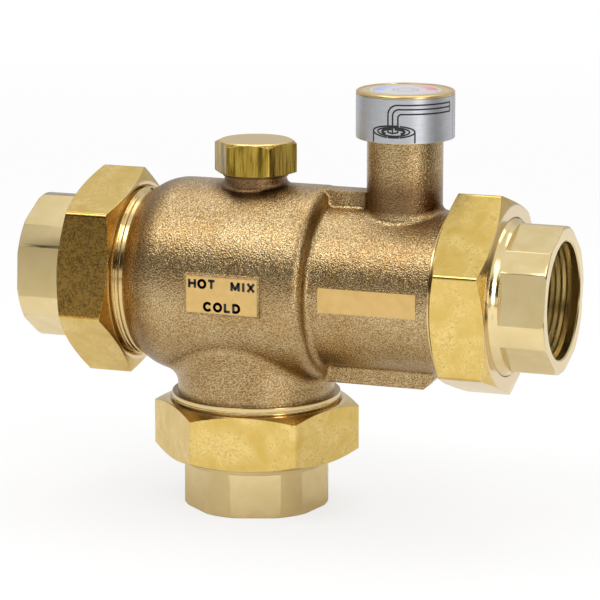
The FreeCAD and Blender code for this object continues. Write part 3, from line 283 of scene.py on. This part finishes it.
# Cast grain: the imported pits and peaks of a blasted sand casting, with slow stains under them.
grain_group, grain_in, grain_out = new_group(
    "cast_grain", [("Vector", "NodeSocketVector"), ("Scale", "NodeSocketFloat", 2000.0)],
    [("Height", "NodeSocketFloat"), ("Patch", "NodeSocketFloat")])
grain_beads = new_node(grain_group, "ShaderNodeTexNoise", values={"Detail": 1.5, "Roughness": 0.55})
grain_cells = new_node(grain_group, "ShaderNodeTexVoronoi")
for texture in (grain_beads, grain_cells):
    grain_group.links.new(grain_in.outputs["Vector"], texture.inputs["Vector"])
    grain_group.links.new(grain_in.outputs["Scale"], texture.inputs["Scale"])
grain_slow = new_node(grain_group, "ShaderNodeTexNoise", values={"Scale": 60.0, "Detail": 4.0})
grain_group.links.new(grain_in.outputs["Vector"], grain_slow.inputs["Vector"])
grain_pits = math_node(grain_group, "MULTIPLY", grain_cells.outputs["Distance"], -0.35)
grain_group.links.new(math_node(grain_group, "ADD", grain_beads.outputs["Fac"], grain_pits),
                      grain_out.inputs["Height"])
grain_group.links.new(grain_slow.outputs["Fac"], grain_out.inputs["Patch"])


def dress(material, *names):
    """Gives CAD nodes their finish."""
    for name in names:
        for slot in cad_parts[name].material_slots:
            slot.material = material


def reach_node(tree, first, second):
    """How far a point lies from an axis, from its two offsets across it."""
    squares = [math_node(tree, "POWER", offset, 2.0) for offset in (first, second)]
    return math_node(tree, "SQRT", math_node(tree, "ADD", *squares))


hot_turned_from = -0.0425
mix_turned_from = 0.0796
cold_turned_from = run_height - 0.044
seat_radius = 0.0271
cast_roughness = 0.26
turned_roughness = 0.16
bronze, tree, shader, place = start_material("cast_bronze", cast_roughness)
grain = new_node(tree, "ShaderNodeGroup", node_tree=grain_group, values={"Scale": 1700.0})
tree.links.new(place, grain.inputs["Vector"])
split = split_node(tree, place)
skin = ramp_node(tree, grain.outputs["Height"],
                 [(0.15, (0.3, 0.19, 0.08)), (0.32, (0.45, 0.325, 0.155)), (0.5, (0.61, 0.48, 0.285))])
stain = ramp_node(tree, grain.outputs["Patch"], [(0.35, (0.86, 0.78, 0.68)), (0.65, 1.0)])
skin = mix_colours(tree, 1.0, skin, stain, blend="MULTIPLY")
# turned places: the collars past the casting's ends, and the bores
level = math_node(tree, "SUBTRACT", split["Z"], run_height)
turned = math_node(tree, "MAXIMUM", math_node(tree, "LESS_THAN", split["X"], hot_turned_from),
                   math_node(tree, "GREATER_THAN", split["X"], mix_turned_from))
turned = math_node(tree, "MAXIMUM", turned, math_node(tree, "LESS_THAN", split["Z"], cold_turned_from))
turned = math_node(tree, "MAXIMUM", turned,
                   math_node(tree, "LESS_THAN", reach_node(tree, split["Y"], level), seat_radius))
# the shoulder beside the hot collar is smooth and golden, then darker further in
rim = rise(tree, split["X"], -0.03733, -0.04067)
shoulder = ramp_node(tree, rise(tree, split["X"], -0.04243, -0.02744), [
    (0.0, (0.95, 0.8, 0.5)), (0.3, (0.8, 0.64, 0.38)), (0.5, (0.55, 0.47, 0.38)),
    (0.8, (0.85, 0.82, 0.78)), (1.0, 1.0)])
skin = mix_colours(tree, 1.0, skin, shoulder, blend="MULTIPLY")
# painted shade: darker in the corners round the plug's boss and the tower's foot, where shade falls
corner_shade_height = math_node(tree, "MULTIPLY", rise(tree, split["Z"], 0.118, 0.1205),
                        rise(tree, split["Z"], 0.1354, 0.1277))
for middle_x, inner, outer in ((0.0, 0.0125, 0.019), (0.0602, 0.015, 0.022)):
    reach = reach_node(tree, math_node(tree, "SUBTRACT", split["X"], middle_x), split["Y"])
    foot = math_node(tree, "MULTIPLY", rise(tree, reach, outer, inner), corner_shade_height)
    skin = mix_colours(tree, math_node(tree, "MULTIPLY", foot, 0.8), skin, (0.14, 0.07, 0.03))
tree.links.new(mix_colours(tree, turned, skin, (0.66, 0.5, 0.24)), shader.inputs["Base Color"])
tree.links.new(math_node(tree, "MULTIPLY_ADD", turned, turned_roughness - cast_roughness, cast_roughness),
               shader.inputs["Roughness"])
bump = new_node(tree, "ShaderNodeBump", values={"Distance": 0.00027})
edge = new_node(tree, "ShaderNodeGroup", node_tree=edge_group, values={"Radius": 0.0006})
tree.links.new(edge.outputs["Normal"], bump.inputs["Normal"])
tree.links.new(grain.outputs["Height"], bump.inputs["Height"])
smooth = math_node(tree, "MAXIMUM", turned, math_node(tree, "MULTIPLY", rim, 0.6))
tree.links.new(math_node(tree, "MULTIPLY_ADD", smooth, -0.75, 0.75), bump.inputs["Strength"])
tree.links.new(bump.outputs["Normal"], shader.inputs["Normal"])
dress(bronze, "valve_body")

port_turns = {
    "hot": Matrix.Rotation(math.radians(-90), 4, "Y"),
    "mix": Matrix.Rotation(math.radians(90), 4, "Y"),
    "cold": Matrix.Rotation(math.radians(180), 4, "Y"),
}
port_mouths = {
    "hot": Vector((cad_low.x, 0, run_height)),
    "mix": Vector((cad_high.x, 0, run_height)),
    "cold": Vector((0, 0, 0)),
}
# The last turns of the union thread stand clear between each nut and the casting.
collar_root = 0.0321
collar_crest = 0.0328
collar_pitch = 0.0015
collar_steps = 80
nut_face = 0.0417
collar_brass, tree, shader, place = start_material("collar_thread_brass", 0.16)
noise = new_node(tree, "ShaderNodeTexNoise", values={"Scale": 300.0, "Detail": 3.0})
tree.links.new(place, noise.inputs["Vector"])
tree.links.new(ramp_node(tree, noise.outputs["Fac"], [(0.35, (0.62, 0.47, 0.2)), (0.65, (0.8, 0.66, 0.38))]),
               shader.inputs["Base Color"])
for port, casting_face in (("hot", 0.0464), ("mix", 0.0433), ("cold", 0.0446)):
    ridge = bmesh.new()
    wedge = [ridge.verts.new((radius, 0, -casting_face + collar_pitch * share)) for radius, share in (
        (collar_root, 0), (collar_crest, 0.3), (collar_crest, 0.45), (collar_root, 0.75))]
    sides = [ridge.edges.new(pair) for pair in zip(wedge, wedge[1:])]
    turns = (casting_face - nut_face) / collar_pitch - 0.75
    steps = int(collar_steps * turns)
    bmesh.ops.spin(ridge, geom=wedge + sides, cent=(0, 0, 0), axis=(0, 0, 1),
                   dvec=(0, 0, turns * collar_pitch / steps), angle=math.tau * turns,
                   steps=steps, use_merge=False)
    bmesh.ops.recalc_face_normals(ridge, faces=ridge.faces)
    bmesh.ops.transform(ridge, matrix=Matrix.Translation(port_mouths[port]) @ port_turns[port],
                        verts=ridge.verts)
    collar_thread = made_piece(port + "_collar_thread", ridge, collar_brass)
    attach(collar_thread, "valve")

# ------------------------------------------------------------------ union nuts
# Three forged hexagon nuts of yellow brass, tumbled: soft clouds and fine dark veins in the
# flats, painted highlights on their edges, and paler ends where they are faced. One flat of the
# hot nut is painted dark with fine veins, a painted reflection of the dark studio in front.
speck_group, speck_in, speck_out = new_group(
    "tumble_marks", [("Vector", "NodeSocketVector"), ("Amount", "NodeSocketFloat", 1.0)],
    [("Mask", "NodeSocketFloat"), ("Height", "NodeSocketFloat"), ("Cloud", "NodeSocketFloat")])
speck_fine = new_node(speck_group, "ShaderNodeTexNoise",
                      values={"Scale": 420.0, "Detail": 3.0, "Roughness": 0.6, "Distortion": 1.2})
speck_slow = new_node(speck_group, "ShaderNodeTexNoise",
                      values={"Scale": 110.0, "Detail": 4.0, "Distortion": 0.6})
for texture in (speck_fine, speck_slow):
    speck_group.links.new(speck_in.outputs["Vector"], texture.inputs["Vector"])
# a vein runs where the fine noise crosses its middle
speck_apart = math_node(speck_group, "SUBTRACT", speck_fine.outputs["Fac"], 0.5)
speck_apart = math_node(speck_group, "ABSOLUTE", speck_apart)
speck_line = rise(speck_group, speck_apart, 0.0238, 0.0)
speck_where = rise(speck_group, speck_slow.outputs["Fac"], 0.4167, 0.5833)
speck_mask = math_node(speck_group, "MULTIPLY", speck_line, speck_where)
speck_mask = math_node(speck_group, "MULTIPLY", speck_mask, speck_in.outputs["Amount"], clamp=True)
speck_group.links.new(speck_mask, speck_out.inputs["Mask"])
speck_group.links.new(speck_fine.outputs["Fac"], speck_out.inputs["Height"])
speck_group.links.new(speck_slow.outputs["Fac"], speck_out.inputs["Cloud"])

# How far a point lies from a centre in one direction, as a mask past a given reach.
beyond_group, beyond_in, beyond_out = new_group(
    "beyond_plane", [("Vector", "NodeSocketVector"), ("Centre", "NodeSocketVector"),
                     ("Direction", "NodeSocketVector"), ("Reach", "NodeSocketFloat", 0.0)],
    [("Mask", "NodeSocketFloat")])
beyond_shift = new_node(beyond_group, "ShaderNodeVectorMath", operation="SUBTRACT")
beyond_group.links.new(beyond_in.outputs["Vector"], beyond_shift.inputs[0])
beyond_group.links.new(beyond_in.outputs["Centre"], beyond_shift.inputs[1])
beyond_dot = new_node(beyond_group, "ShaderNodeVectorMath", operation="DOT_PRODUCT")
beyond_group.links.new(beyond_shift.outputs["Vector"], beyond_dot.inputs[0])
beyond_group.links.new(beyond_in.outputs["Direction"], beyond_dot.inputs[1])
beyond_group.links.new(
    math_node(beyond_group, "GREATER_THAN", beyond_dot.outputs["Value"], beyond_in.outputs["Reach"]),
    beyond_out.inputs["Mask"])


def beyond_plane(tree, place, centre, direction, reach):
    """The mask of what lies further out than a plane."""
    node = new_node(tree, "ShaderNodeGroup", node_tree=beyond_group,
                    values={"Centre": centre, "Direction": direction, "Reach": reach})
    tree.links.new(place, node.inputs["Vector"])
    return node.outputs["Mask"]


def forged_brass(name, dark, light, vein, roughness, radius, amount, glow=(0.95, 0.85, 0.6)):
    """Brass with clouds between two tones, dark veins, and painted highlights on its edges."""
    material, tree, shader, place = start_material(name, roughness)
    marks = new_node(tree, "ShaderNodeGroup", node_tree=speck_group, values={"Amount": amount})
    tree.links.new(place, marks.inputs["Vector"])
    edge = new_node(tree, "ShaderNodeGroup", node_tree=edge_group, values={"Radius": radius})
    tone = ramp_node(tree, marks.outputs["Cloud"], [(0.35, dark), (0.65, light)])
    tone = mix_colours(tree, marks.outputs["Mask"], tone, vein)
    # painted highlight along the edges
    tone = mix_colours(tree, edge.outputs["Edge"], tone, glow)
    tree.links.new(tone, shader.inputs["Base Color"])
    bump = new_node(tree, "ShaderNodeBump", values={"Distance": 0.00004, "Strength": 0.5})
    tree.links.new(marks.outputs["Height"], bump.inputs["Height"])
    tree.links.new(edge.outputs["Normal"], bump.inputs["Normal"])
    tree.links.new(bump.outputs["Normal"], shader.inputs["Normal"])
    return material, tree, shader, place, marks, tone


nut_outer_end = 0.0206
nut_inner_end = 0.0414
nut_half = 0.0348
hot_nut_turn = math.radians(11.5)
for port, dark_reflection_flat in (("hot", True), ("mix", False), ("cold", False)):
    nut_brass, tree, shader, place, marks, tone = forged_brass(
        port + "_nut_brass", (0.62, 0.43, 0.11), (0.76, 0.56, 0.2), (0.3, 0.19, 0.04), 0.2, 0.0003, 0.75,
        glow=(0.85, 0.68, 0.34))
    mouth = port_mouths[port]
    inward = (port_turns[port] @ Vector((0, 0, -1))).to_tuple(6)
    outward = (port_turns[port] @ Vector((0, 0, 1))).to_tuple(6)
    ends = math_node(tree, "MAXIMUM", beyond_plane(tree, place, mouth, inward, nut_inner_end),
                     beyond_plane(tree, place, mouth, outward, -nut_outer_end))
    tone = mix_colours(tree, ends, tone, (0.72, 0.57, 0.34))
    if dark_reflection_flat:
        # painted reflection: one flat of the hot nut painted dark brown with near-black veins, as if it
        # mirrors the dark studio
        flat_way = Vector((0, -math.cos(hot_nut_turn), math.sin(hot_nut_turn)))
        dark_flat_mask = beyond_plane(tree, place, mouth, flat_way, nut_half)
        veins = math_node(tree, "ABSOLUTE", math_node(tree, "SUBTRACT", marks.outputs["Height"], 0.47))
        veins = rise(tree, veins, 0.05, 0.0045)
        painted_dark_reflection = mix_colours(tree, veins, (0.5, 0.28, 0.06), (0.12, 0.06, 0.015))
        tone = mix_colours(tree, math_node(tree, "MULTIPLY", dark_flat_mask, 0.85), tone, painted_dark_reflection)
    tree.links.new(tone, shader.inputs["Base Color"])
    dress(nut_brass, port + "_union_nut")

# ------------------------------------------------------------------ tailpieces
# Threaded tails of bright turned brass with six milled flats. Each has an internal pipe
# thread of 11.5 turns to the inch, cut here as a ridge that winds down a wider bore.
thread_pitch = 0.0254 / 11.5
thread_crest = 0.0223
thread_root = 0.0242
thread_start = 0.0006
thread_end = 0.0196
thread_steps = 96
bore_radius = 0.02226
bore_mouth = 0.0005
bore_end = 0.02
hair = 0.00001

tail_brass, tree, shader, place = start_material("tail_brass", 0.14)
marks = new_node(tree, "ShaderNodeGroup", node_tree=speck_group, values={"Amount": 0.15})
tree.links.new(place, marks.inputs["Vector"])
edge = new_node(tree, "ShaderNodeGroup", node_tree=edge_group, values={"Radius": 0.0004})
tone = ramp_node(tree, marks.outputs["Cloud"], [(0.3, (0.69, 0.54, 0.26)), (0.7, (0.76, 0.61, 0.33))])
tone = mix_colours(tree, marks.outputs["Mask"], tone, (0.5, 0.38, 0.18))
# painted dark reflection along the edges where the flats meet the round
tone = mix_colours(tree, edge.outputs["Edge"], tone, (0.4, 0.3, 0.13))
tree.links.new(tone, shader.inputs["Base Color"])
tree.links.new(edge.outputs["Normal"], shader.inputs["Normal"])

# painted light and shade: the thread is painted pale on its crests as a highlight, and dark in its roots as
# shade
thread_brass, tree, shader, place = start_material("thread_brass", 0.18)
split = split_node(tree, place)
level = math_node(tree, "SUBTRACT", split["Z"], run_height)
run_reach = reach_node(tree, split["Y"], level)
drop_reach = reach_node(tree, split["X"], split["Y"])
depth = math_node(tree, "MINIMUM", run_reach, drop_reach)
tree.links.new(ramp_node(tree, rise(tree, depth, thread_crest, thread_root), [
    (0.0, (0.97, 0.92, 0.74)), (0.3, (0.94, 0.86, 0.63)), (0.85, (0.84, 0.73, 0.47)),
    (1.0, (0.45, 0.33, 0.14))]), shader.inputs["Base Color"])


def faces_within(tail, radius):
    """The faces of a tail's bore that lie within a radius, over the thread's length."""
    return [face for face in tail.faces
            if all(vert.co.xy.length < radius and -bore_end - hair < vert.co.z < -bore_mouth + hair
                   for vert in face.verts)]


for port, turn in port_turns.items():
    out_of_port = Matrix.Translation(port_mouths[port]) @ turn
    into_port = out_of_port.inverted()
    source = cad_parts[port + "_tailpiece"].data
    tail = bmesh.new()
    tail.from_mesh(source)
    bmesh.ops.remove_doubles(tail, verts=tail.verts, dist=1e-6)
    bmesh.ops.transform(tail, matrix=into_port, verts=tail.verts)
    bmesh.ops.delete(tail, geom=faces_within(tail, thread_crest), context="FACES")
    # the wider bore behind the ridge, closed back to the crest at both ends
    profile = [tail.verts.new((radius, 0, z)) for radius, z in (
        (bore_radius, -bore_mouth), (thread_root, -bore_mouth), (thread_root, -bore_end),
        (bore_radius, -bore_end))]
    lines = [tail.edges.new(pair) for pair in zip(profile, profile[1:])]
    bmesh.ops.spin(tail, geom=profile + lines, cent=(0, 0, 0), axis=(0, 0, 1), dvec=(0, 0, 0),
                   angle=math.tau, steps=thread_steps, use_merge=True)
    # the ridge, a wedge that winds up from the end of the thread to the mouth
    wedge = [tail.verts.new((radius, 0, -thread_end + thread_pitch * share)) for radius, share in (
        (thread_root, 0), (thread_crest, 0.42), (thread_crest, 0.54), (thread_root, 0.96))]
    sides = [tail.edges.new(pair) for pair in zip(wedge, wedge[1:])]
    turns = int((thread_end - thread_start) / thread_pitch - 1)
    bmesh.ops.spin(tail, geom=wedge + sides, cent=(0, 0, 0), axis=(0, 0, 1),
                   dvec=(0, 0, thread_pitch / thread_steps), angle=math.tau * turns,
                   steps=thread_steps * turns, use_merge=False)
    for face in faces_within(tail, thread_root + hair):
        face.material_index = 1
    bmesh.ops.transform(tail, matrix=out_of_port, verts=tail.verts)
    tail_piece = made_piece(port + "_tail_threaded", tail, tail_brass, thread_brass)
    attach(tail_piece, "valve")
    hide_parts(port + "_tailpiece")

# ------------------------------------------------------------------ plug
# Hexagon plug of drawn brass, greener than the nuts and streaked from the bar, with a dark
# copper washer under it.
plug_brass, tree, shader, place = start_material("plug_brass", 0.24)
stretch = new_node(tree, "ShaderNodeMapping", values={"Scale": (520.0, 520.0, 45.0)})
tree.links.new(place, stretch.inputs["Vector"])
streaks = new_node(tree, "ShaderNodeTexNoise", values={"Scale": 1.0, "Detail": 4.0, "Roughness": 0.65})
tree.links.new(stretch.outputs["Vector"], streaks.inputs["Vector"])
edge = new_node(tree, "ShaderNodeGroup", node_tree=edge_group, values={"Radius": 0.0003})
tone = ramp_node(tree, streaks.outputs["Fac"], [(0.38, (0.13, 0.08, 0.012)), (0.5, (0.36, 0.24, 0.035)),
                                                (0.68, (0.55, 0.39, 0.09))])
# the top is paler
pale_top_from = 0.1425
pale_top = math_node(tree, "GREATER_THAN", split_node(tree, place)["Z"], pale_top_from)
tone = mix_colours(tree, pale_top, tone, (0.78, 0.56, 0.2))
# painted highlight along the edges
tone = mix_colours(tree, edge.outputs["Edge"], tone, (0.75, 0.62, 0.28))
tree.links.new(tone, shader.inputs["Base Color"])
bump = new_node(tree, "ShaderNodeBump", values={"Distance": 0.00008, "Strength": 0.5})
tree.links.new(streaks.outputs["Fac"], bump.inputs["Height"])
tree.links.new(edge.outputs["Normal"], bump.inputs["Normal"])
tree.links.new(bump.outputs["Normal"], shader.inputs["Normal"])
dress(plug_brass, "access_plug")

copper, tree, shader, place = start_material("washer_copper", 0.4)
marks = new_node(tree, "ShaderNodeGroup", node_tree=speck_group)
tree.links.new(place, marks.inputs["Vector"])
tree.links.new(ramp_node(tree, marks.outputs["Cloud"],
                         [(0.3, (0.09, 0.05, 0.02)), (0.7, (0.16, 0.09, 0.04))]),
               shader.inputs["Base Color"])
dress(copper, "plug_washer")

# ------------------------------------------------------------------ adjusting cap
# Turned brass cap over the adjusting stem, wrapped in a printed band of silver metal, with a
# printed disc under its rim.
cap_brass, tree, shader, place = start_material("cap_brass", 0.28)
marks = new_node(tree, "ShaderNodeGroup", node_tree=speck_group, values={"Amount": 0.1})
tree.links.new(place, marks.inputs["Vector"])
edge = new_node(tree, "ShaderNodeGroup", node_tree=edge_group, values={"Radius": 0.0003})
tone = ramp_node(tree, marks.outputs["Cloud"], [(0.3, (0.6, 0.42, 0.17)), (0.7, (0.75, 0.56, 0.28))])
# painted highlight along the edges
tree.links.new(mix_colours(tree, edge.outputs["Edge"], tone, (0.95, 0.85, 0.6)), shader.inputs["Base Color"])
tree.links.new(edge.outputs["Normal"], shader.inputs["Normal"])
dress(cap_brass, "cap_shell")

band_metal, tree, shader, place = start_material("cap_band_metal", 0.38, metallic=0.9)
brushed = new_node(tree, "ShaderNodeMapping", values={"Scale": (150.0, 150.0, 2500.0)})
tree.links.new(place, brushed.inputs["Vector"])
strokes = new_node(tree, "ShaderNodeTexNoise", values={"Scale": 1.0, "Detail": 2.0})
tree.links.new(brushed.outputs["Vector"], strokes.inputs["Vector"])
tree.links.new(ramp_node(tree, strokes.outputs["Fac"],
                         [(0.3, (0.48, 0.49, 0.52)), (0.7, (0.56, 0.57, 0.6))]),
               shader.inputs["Base Color"])
dress(band_metal, "cap_band")

# The band's print: a plain line drawing of a hexagon key that bends down into a socket. It is
# drawn flat, in millimetres along and up the band, and then wrapped round it.
cap_middle = 0.0602
band_foot = 0.1474
print_radius = 0.01867
print_front = math.radians(20.235)
print_foot = 0.2
print_top = 16.2
line_half = 0.3
arc_half = 0.44
socket_middle = (-5.2, 4.4)
millimetre = 0.001

ink, tree, shader, place = start_material("print_ink", 0.5, metallic=0.0)
noise = new_node(tree, "ShaderNodeTexNoise", values={"Scale": 800.0, "Detail": 2.0})
tree.links.new(place, noise.inputs["Vector"])
tree.links.new(ramp_node(tree, noise.outputs["Fac"],
                         [(0.3, (0.006, 0.006, 0.007)), (0.7, (0.016, 0.016, 0.018))]),
               shader.inputs["Base Color"])


def oval(middle, half_wide, half_high, first=0, last=360, steps=32):
    """Points of an oval arc."""
    return [(middle[0] + half_wide * math.cos(math.radians(first + (last - first) * i / steps)),
             middle[1] + half_high * math.sin(math.radians(first + (last - first) * i / steps)))
            for i in range(steps + 1)]


def bent_line(start, corner_x, corner_y, radius, end):
    """Points of a line that rises from start, turns right with a round corner, and runs to end."""
    middle = (corner_x + radius, corner_y - radius)
    return [start, *oval(middle, radius, radius, 180, 90, 8), end]


drawing = [
    oval(socket_middle, 8.2, 2.2),
    oval(socket_middle, 6.2, 1.6),
    [(-13.4, 4.4), (-13.4, 0.15)],
    [(3.0, 4.4), (3.0, 0.15)],
    bent_line((-7.2, 4.2), -7.2, 14.4, 3.6, (19.5, 14.4)),
    bent_line((-5.4, 4.0), -5.4, 12.8, 2.4, (19.5, 12.8)),
    bent_line((-3.4, 4.2), -3.4, 11.0, 1.4, (19.5, 11.0)),
    [(19.5, 14.4), (19.5, 11.0)],
    [(-7.2, 4.2), (-5.4, 3.8), (-3.4, 4.2)],
    [(26.5, 0.15), (26.5, 16.0)],
]


def draw_line(shape, points, half_width):
    """A drawn line: a thin strip on each stretch, run on a little to close the corners."""
    for (x0, y0), (x1, y1) in zip(points, points[1:]):
        run = Vector((x1 - x0, y1 - y0, 0))
        parts = max(1, int(run.length / 0.8))
        strip = bmesh.ops.create_grid(shape, x_segments=parts, y_segments=1, size=0.5)["verts"]
        bmesh.ops.scale(shape, vec=(run.length + half_width, 2 * half_width, 1), verts=strip)
        bmesh.ops.rotate(shape, cent=(0, 0, 0), verts=strip,
                         matrix=Matrix.Rotation(math.atan2(run.y, run.x), 3, "Z"))
        bmesh.ops.translate(shape, vec=((x0 + x1) / 2, (y0 + y1) / 2, 0), verts=strip)


strokes = bmesh.new()
for points in drawing:
    draw_line(strokes, points, line_half)
for first, last in ((100, 225), (-45, 80)):
    draw_line(strokes, oval(socket_middle, 4.3, 1.0, first, last), arc_half)
for vert in strokes.verts:
    turn = vert.co.x * millimetre / print_radius + print_front
    height = band_foot + min(max(vert.co.y, print_foot), print_top) * millimetre
    vert.co = (cap_middle + print_radius * math.sin(turn), -print_radius * math.cos(turn), height)
cap_print = made_piece("cap_band_print", strokes, ink)
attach(cap_print, "cap")

disc_print, tree, shader, place = start_material("dial_print", 0.35, metallic=0.0)
middle = new_node(tree, "ShaderNodeMapping", vector_type="TEXTURE",
                  values={"Location": (cap_middle, 0, 0), "Rotation": (0, 0, print_front)})
tree.links.new(place, middle.inputs["Vector"])
split = split_node(tree, middle.outputs["Vector"])
reach = reach_node(tree, split["X"], split["Y"])


def ring_mask(tree, reach, inner, outer):
    """The mask of a ring between two radii."""
    return math_node(tree, "MULTIPLY", math_node(tree, "GREATER_THAN", reach, inner),
                     math_node(tree, "LESS_THAN", reach, outer))


# an arc that goes from blue on the left round the back to red on the right
arc = ramp_node(tree, rise(tree, split["X"], -0.0119, 0.0119), [
    (0.05, (0.3, 0.4, 0.75)), (0.4, (0.55, 0.56, 0.68)), (0.62, (0.62, 0.55, 0.6)),
    (0.95, (0.8, 0.16, 0.2))])
arc_mask = math_node(tree, "MULTIPLY", ring_mask(tree, reach, 0.0078, 0.0118),
                     rise(tree, split["Y"], -0.0033, 0.0))
tone = mix_colours(tree, arc_mask, (0.58, 0.56, 0.56), arc)
fine_rings = ring_mask(tree, reach, 0.0121, 0.0124)
for inner, outer in ((0.0046, 0.0050), (0.0030, 0.0033)):
    fine_rings = math_node(tree, "MAXIMUM", fine_rings, ring_mask(tree, reach, inner, outer))
tone = mix_colours(tree, fine_rings, tone, (0.2, 0.19, 0.21))
# outside the print the disc is bare brass foil
print_edge = 0.0134
bare = math_node(tree, "GREATER_THAN", reach, print_edge)
tone = mix_colours(tree, bare, tone, (0.74, 0.58, 0.32))
tree.links.new(tone, shader.inputs["Base Color"])
tree.links.new(math_node(tree, "MULTIPLY", bare, 0.9), shader.inputs["Metallic"])
dress(disc_print, "dial_disc")

# ------------------------------------------------------------------ labels
# Two foil labels stuck on the casting. The one in the raised frame names the ports in plain
# printed capitals, and the strip on the mixed barrel is bare.
foil, tree, shader, place = start_material("label_foil", 0.4, metallic=0.1)
grain_of_foil = new_node(tree, "ShaderNodeTexNoise", values={"Scale": 260.0, "Detail": 3.0})
tree.links.new(place, grain_of_foil.inputs["Vector"])
tree.links.new(ramp_node(tree, grain_of_foil.outputs["Fac"],
                         [(0.3, (0.66, 0.42, 0.13)), (0.7, (0.74, 0.49, 0.17))]),
               shader.inputs["Base Color"])
dress(foil, "port_label", "strip_label")

label_face = -0.03842
letter_height = 2.8
letter_half = 0.52
# each capital on a field one high, as lines from point to point, and its width
capitals = {
    "H": (0.82, [[(0, 0), (0, 1)], [(0.82, 0), (0.82, 1)], [(0, 0.52), (0.82, 0.52)]]),
    "O": (0.96, [oval((0.48, 0.5), 0.48, 0.5)]),
    "T": (0.76, [[(0, 1), (0.76, 1)], [(0.38, 0), (0.38, 1)]]),
    "M": (1.0, [[(0, 0), (0, 1), (0.5, 0.12), (1.0, 1), (1.0, 0)]]),
    "I": (0.0, [[(0, 0), (0, 1)]]),
    "X": (0.8, [[(0, 0), (0.8, 1)], [(0, 1), (0.8, 0)]]),
    "C": (0.86, [oval((0.48, 0.5), 0.48, 0.5, 42, 318)]),
    "L": (0.62, [[(0, 1), (0, 0), (0.62, 0)]]),
    "D": (0.8, [[(0.3, 1), (0, 1), (0, 0), (0.3, 0)], oval((0.3, 0.5), 0.5, 0.5, -90, 90)]),
}
for word, left, foot, width in (("HOT", -12.2, 91.9, 10.0), ("MIX", 4.9, 91.7, 8.8),
                                ("COLD", -6.2, 83.3, 14.0)):
    letters = bmesh.new()
    gap = (width / letter_height - sum(capitals[letter][0] for letter in word)) / (len(word) - 1)
    pen = 0
    for letter in word:
        letter_width, lines = capitals[letter]
        for line in lines:
            placed = [(left + (pen + x) * letter_height, foot + y * letter_height) for x, y in line]
            draw_line(letters, placed, letter_half)
        pen += letter_width + gap
    bmesh.ops.scale(letters, vec=(millimetre, millimetre, millimetre), verts=letters.verts)
    bmesh.ops.rotate(letters, cent=(0, 0, 0), matrix=Matrix.Rotation(math.radians(90), 3, "X"),
                     verts=letters.verts)
    bmesh.ops.translate(letters, vec=(0, label_face, 0), verts=letters.verts)
    word_piece = made_piece("port_word_" + word.lower(), letters, ink)
    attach(word_piece, "valve")

# ------------------------------------------------------------------ cartridge and stem
# What works inside: a moulded cage, turned brass shuttle, wax capsule, yoke and stem, with
# steel springs and clips, rubber rings and fibre gaskets.
inner_brass = forged_brass("inner_brass", (0.6, 0.45, 0.2), (0.72, 0.56, 0.28), (0.4, 0.3, 0.12),
                           0.3, 0.0003, 0.2)[0]
dress(inner_brass, "spool", "wax_capsule", "carrier", "spring_cup", "spring_screw", "gland_bush")


def plain_finish(name, dark, light, roughness, metallic, scale, depth):
    """A finish of two near tones with a fine relief."""
    material, tree, shader, place = start_material(name, roughness, metallic)
    noise = new_node(tree, "ShaderNodeTexNoise", values={"Scale": scale, "Detail": 3.0})
    tree.links.new(place, noise.inputs["Vector"])
    tree.links.new(ramp_node(tree, noise.outputs["Fac"], [(0.35, dark), (0.65, light)]),
                   shader.inputs["Base Color"])
    bump = new_node(tree, "ShaderNodeBump", values={"Distance": depth, "Strength": 0.5})
    tree.links.new(noise.outputs["Fac"], bump.inputs["Height"])
    tree.links.new(bump.outputs["Normal"], shader.inputs["Normal"])
    return material


steel = plain_finish("spring_steel", (0.42, 0.42, 0.43), (0.6, 0.6, 0.61), 0.3, 1.0, 600.0, 0.00003)
dress(steel, "return_spring", "overload_spring", "stem_clip", "cage_clip", "capsule_piston",
      "adjusting_stem")
rubber = plain_finish("seal_rubber", (0.015, 0.015, 0.015), (0.035, 0.035, 0.034), 0.5, 0.0, 900.0, 0.00003)
dress(rubber, "cage_ring_hot", "cage_ring_cold", "spool_ring", "stem_ring_lower", "stem_ring_upper")
plastic = plain_finish("cage_plastic", (0.72, 0.71, 0.66), (0.82, 0.81, 0.77), 0.5, 0.0, 400.0, 0.00003)
dress(plastic, "guide_cage", "cap_grip")
fibre = plain_finish("gasket_fibre", (0.16, 0.06, 0.04), (0.3, 0.13, 0.09), 0.8, 0.0, 1500.0, 0.00006)
dress(fibre, "hot_gasket", "mix_gasket", "cold_gasket")
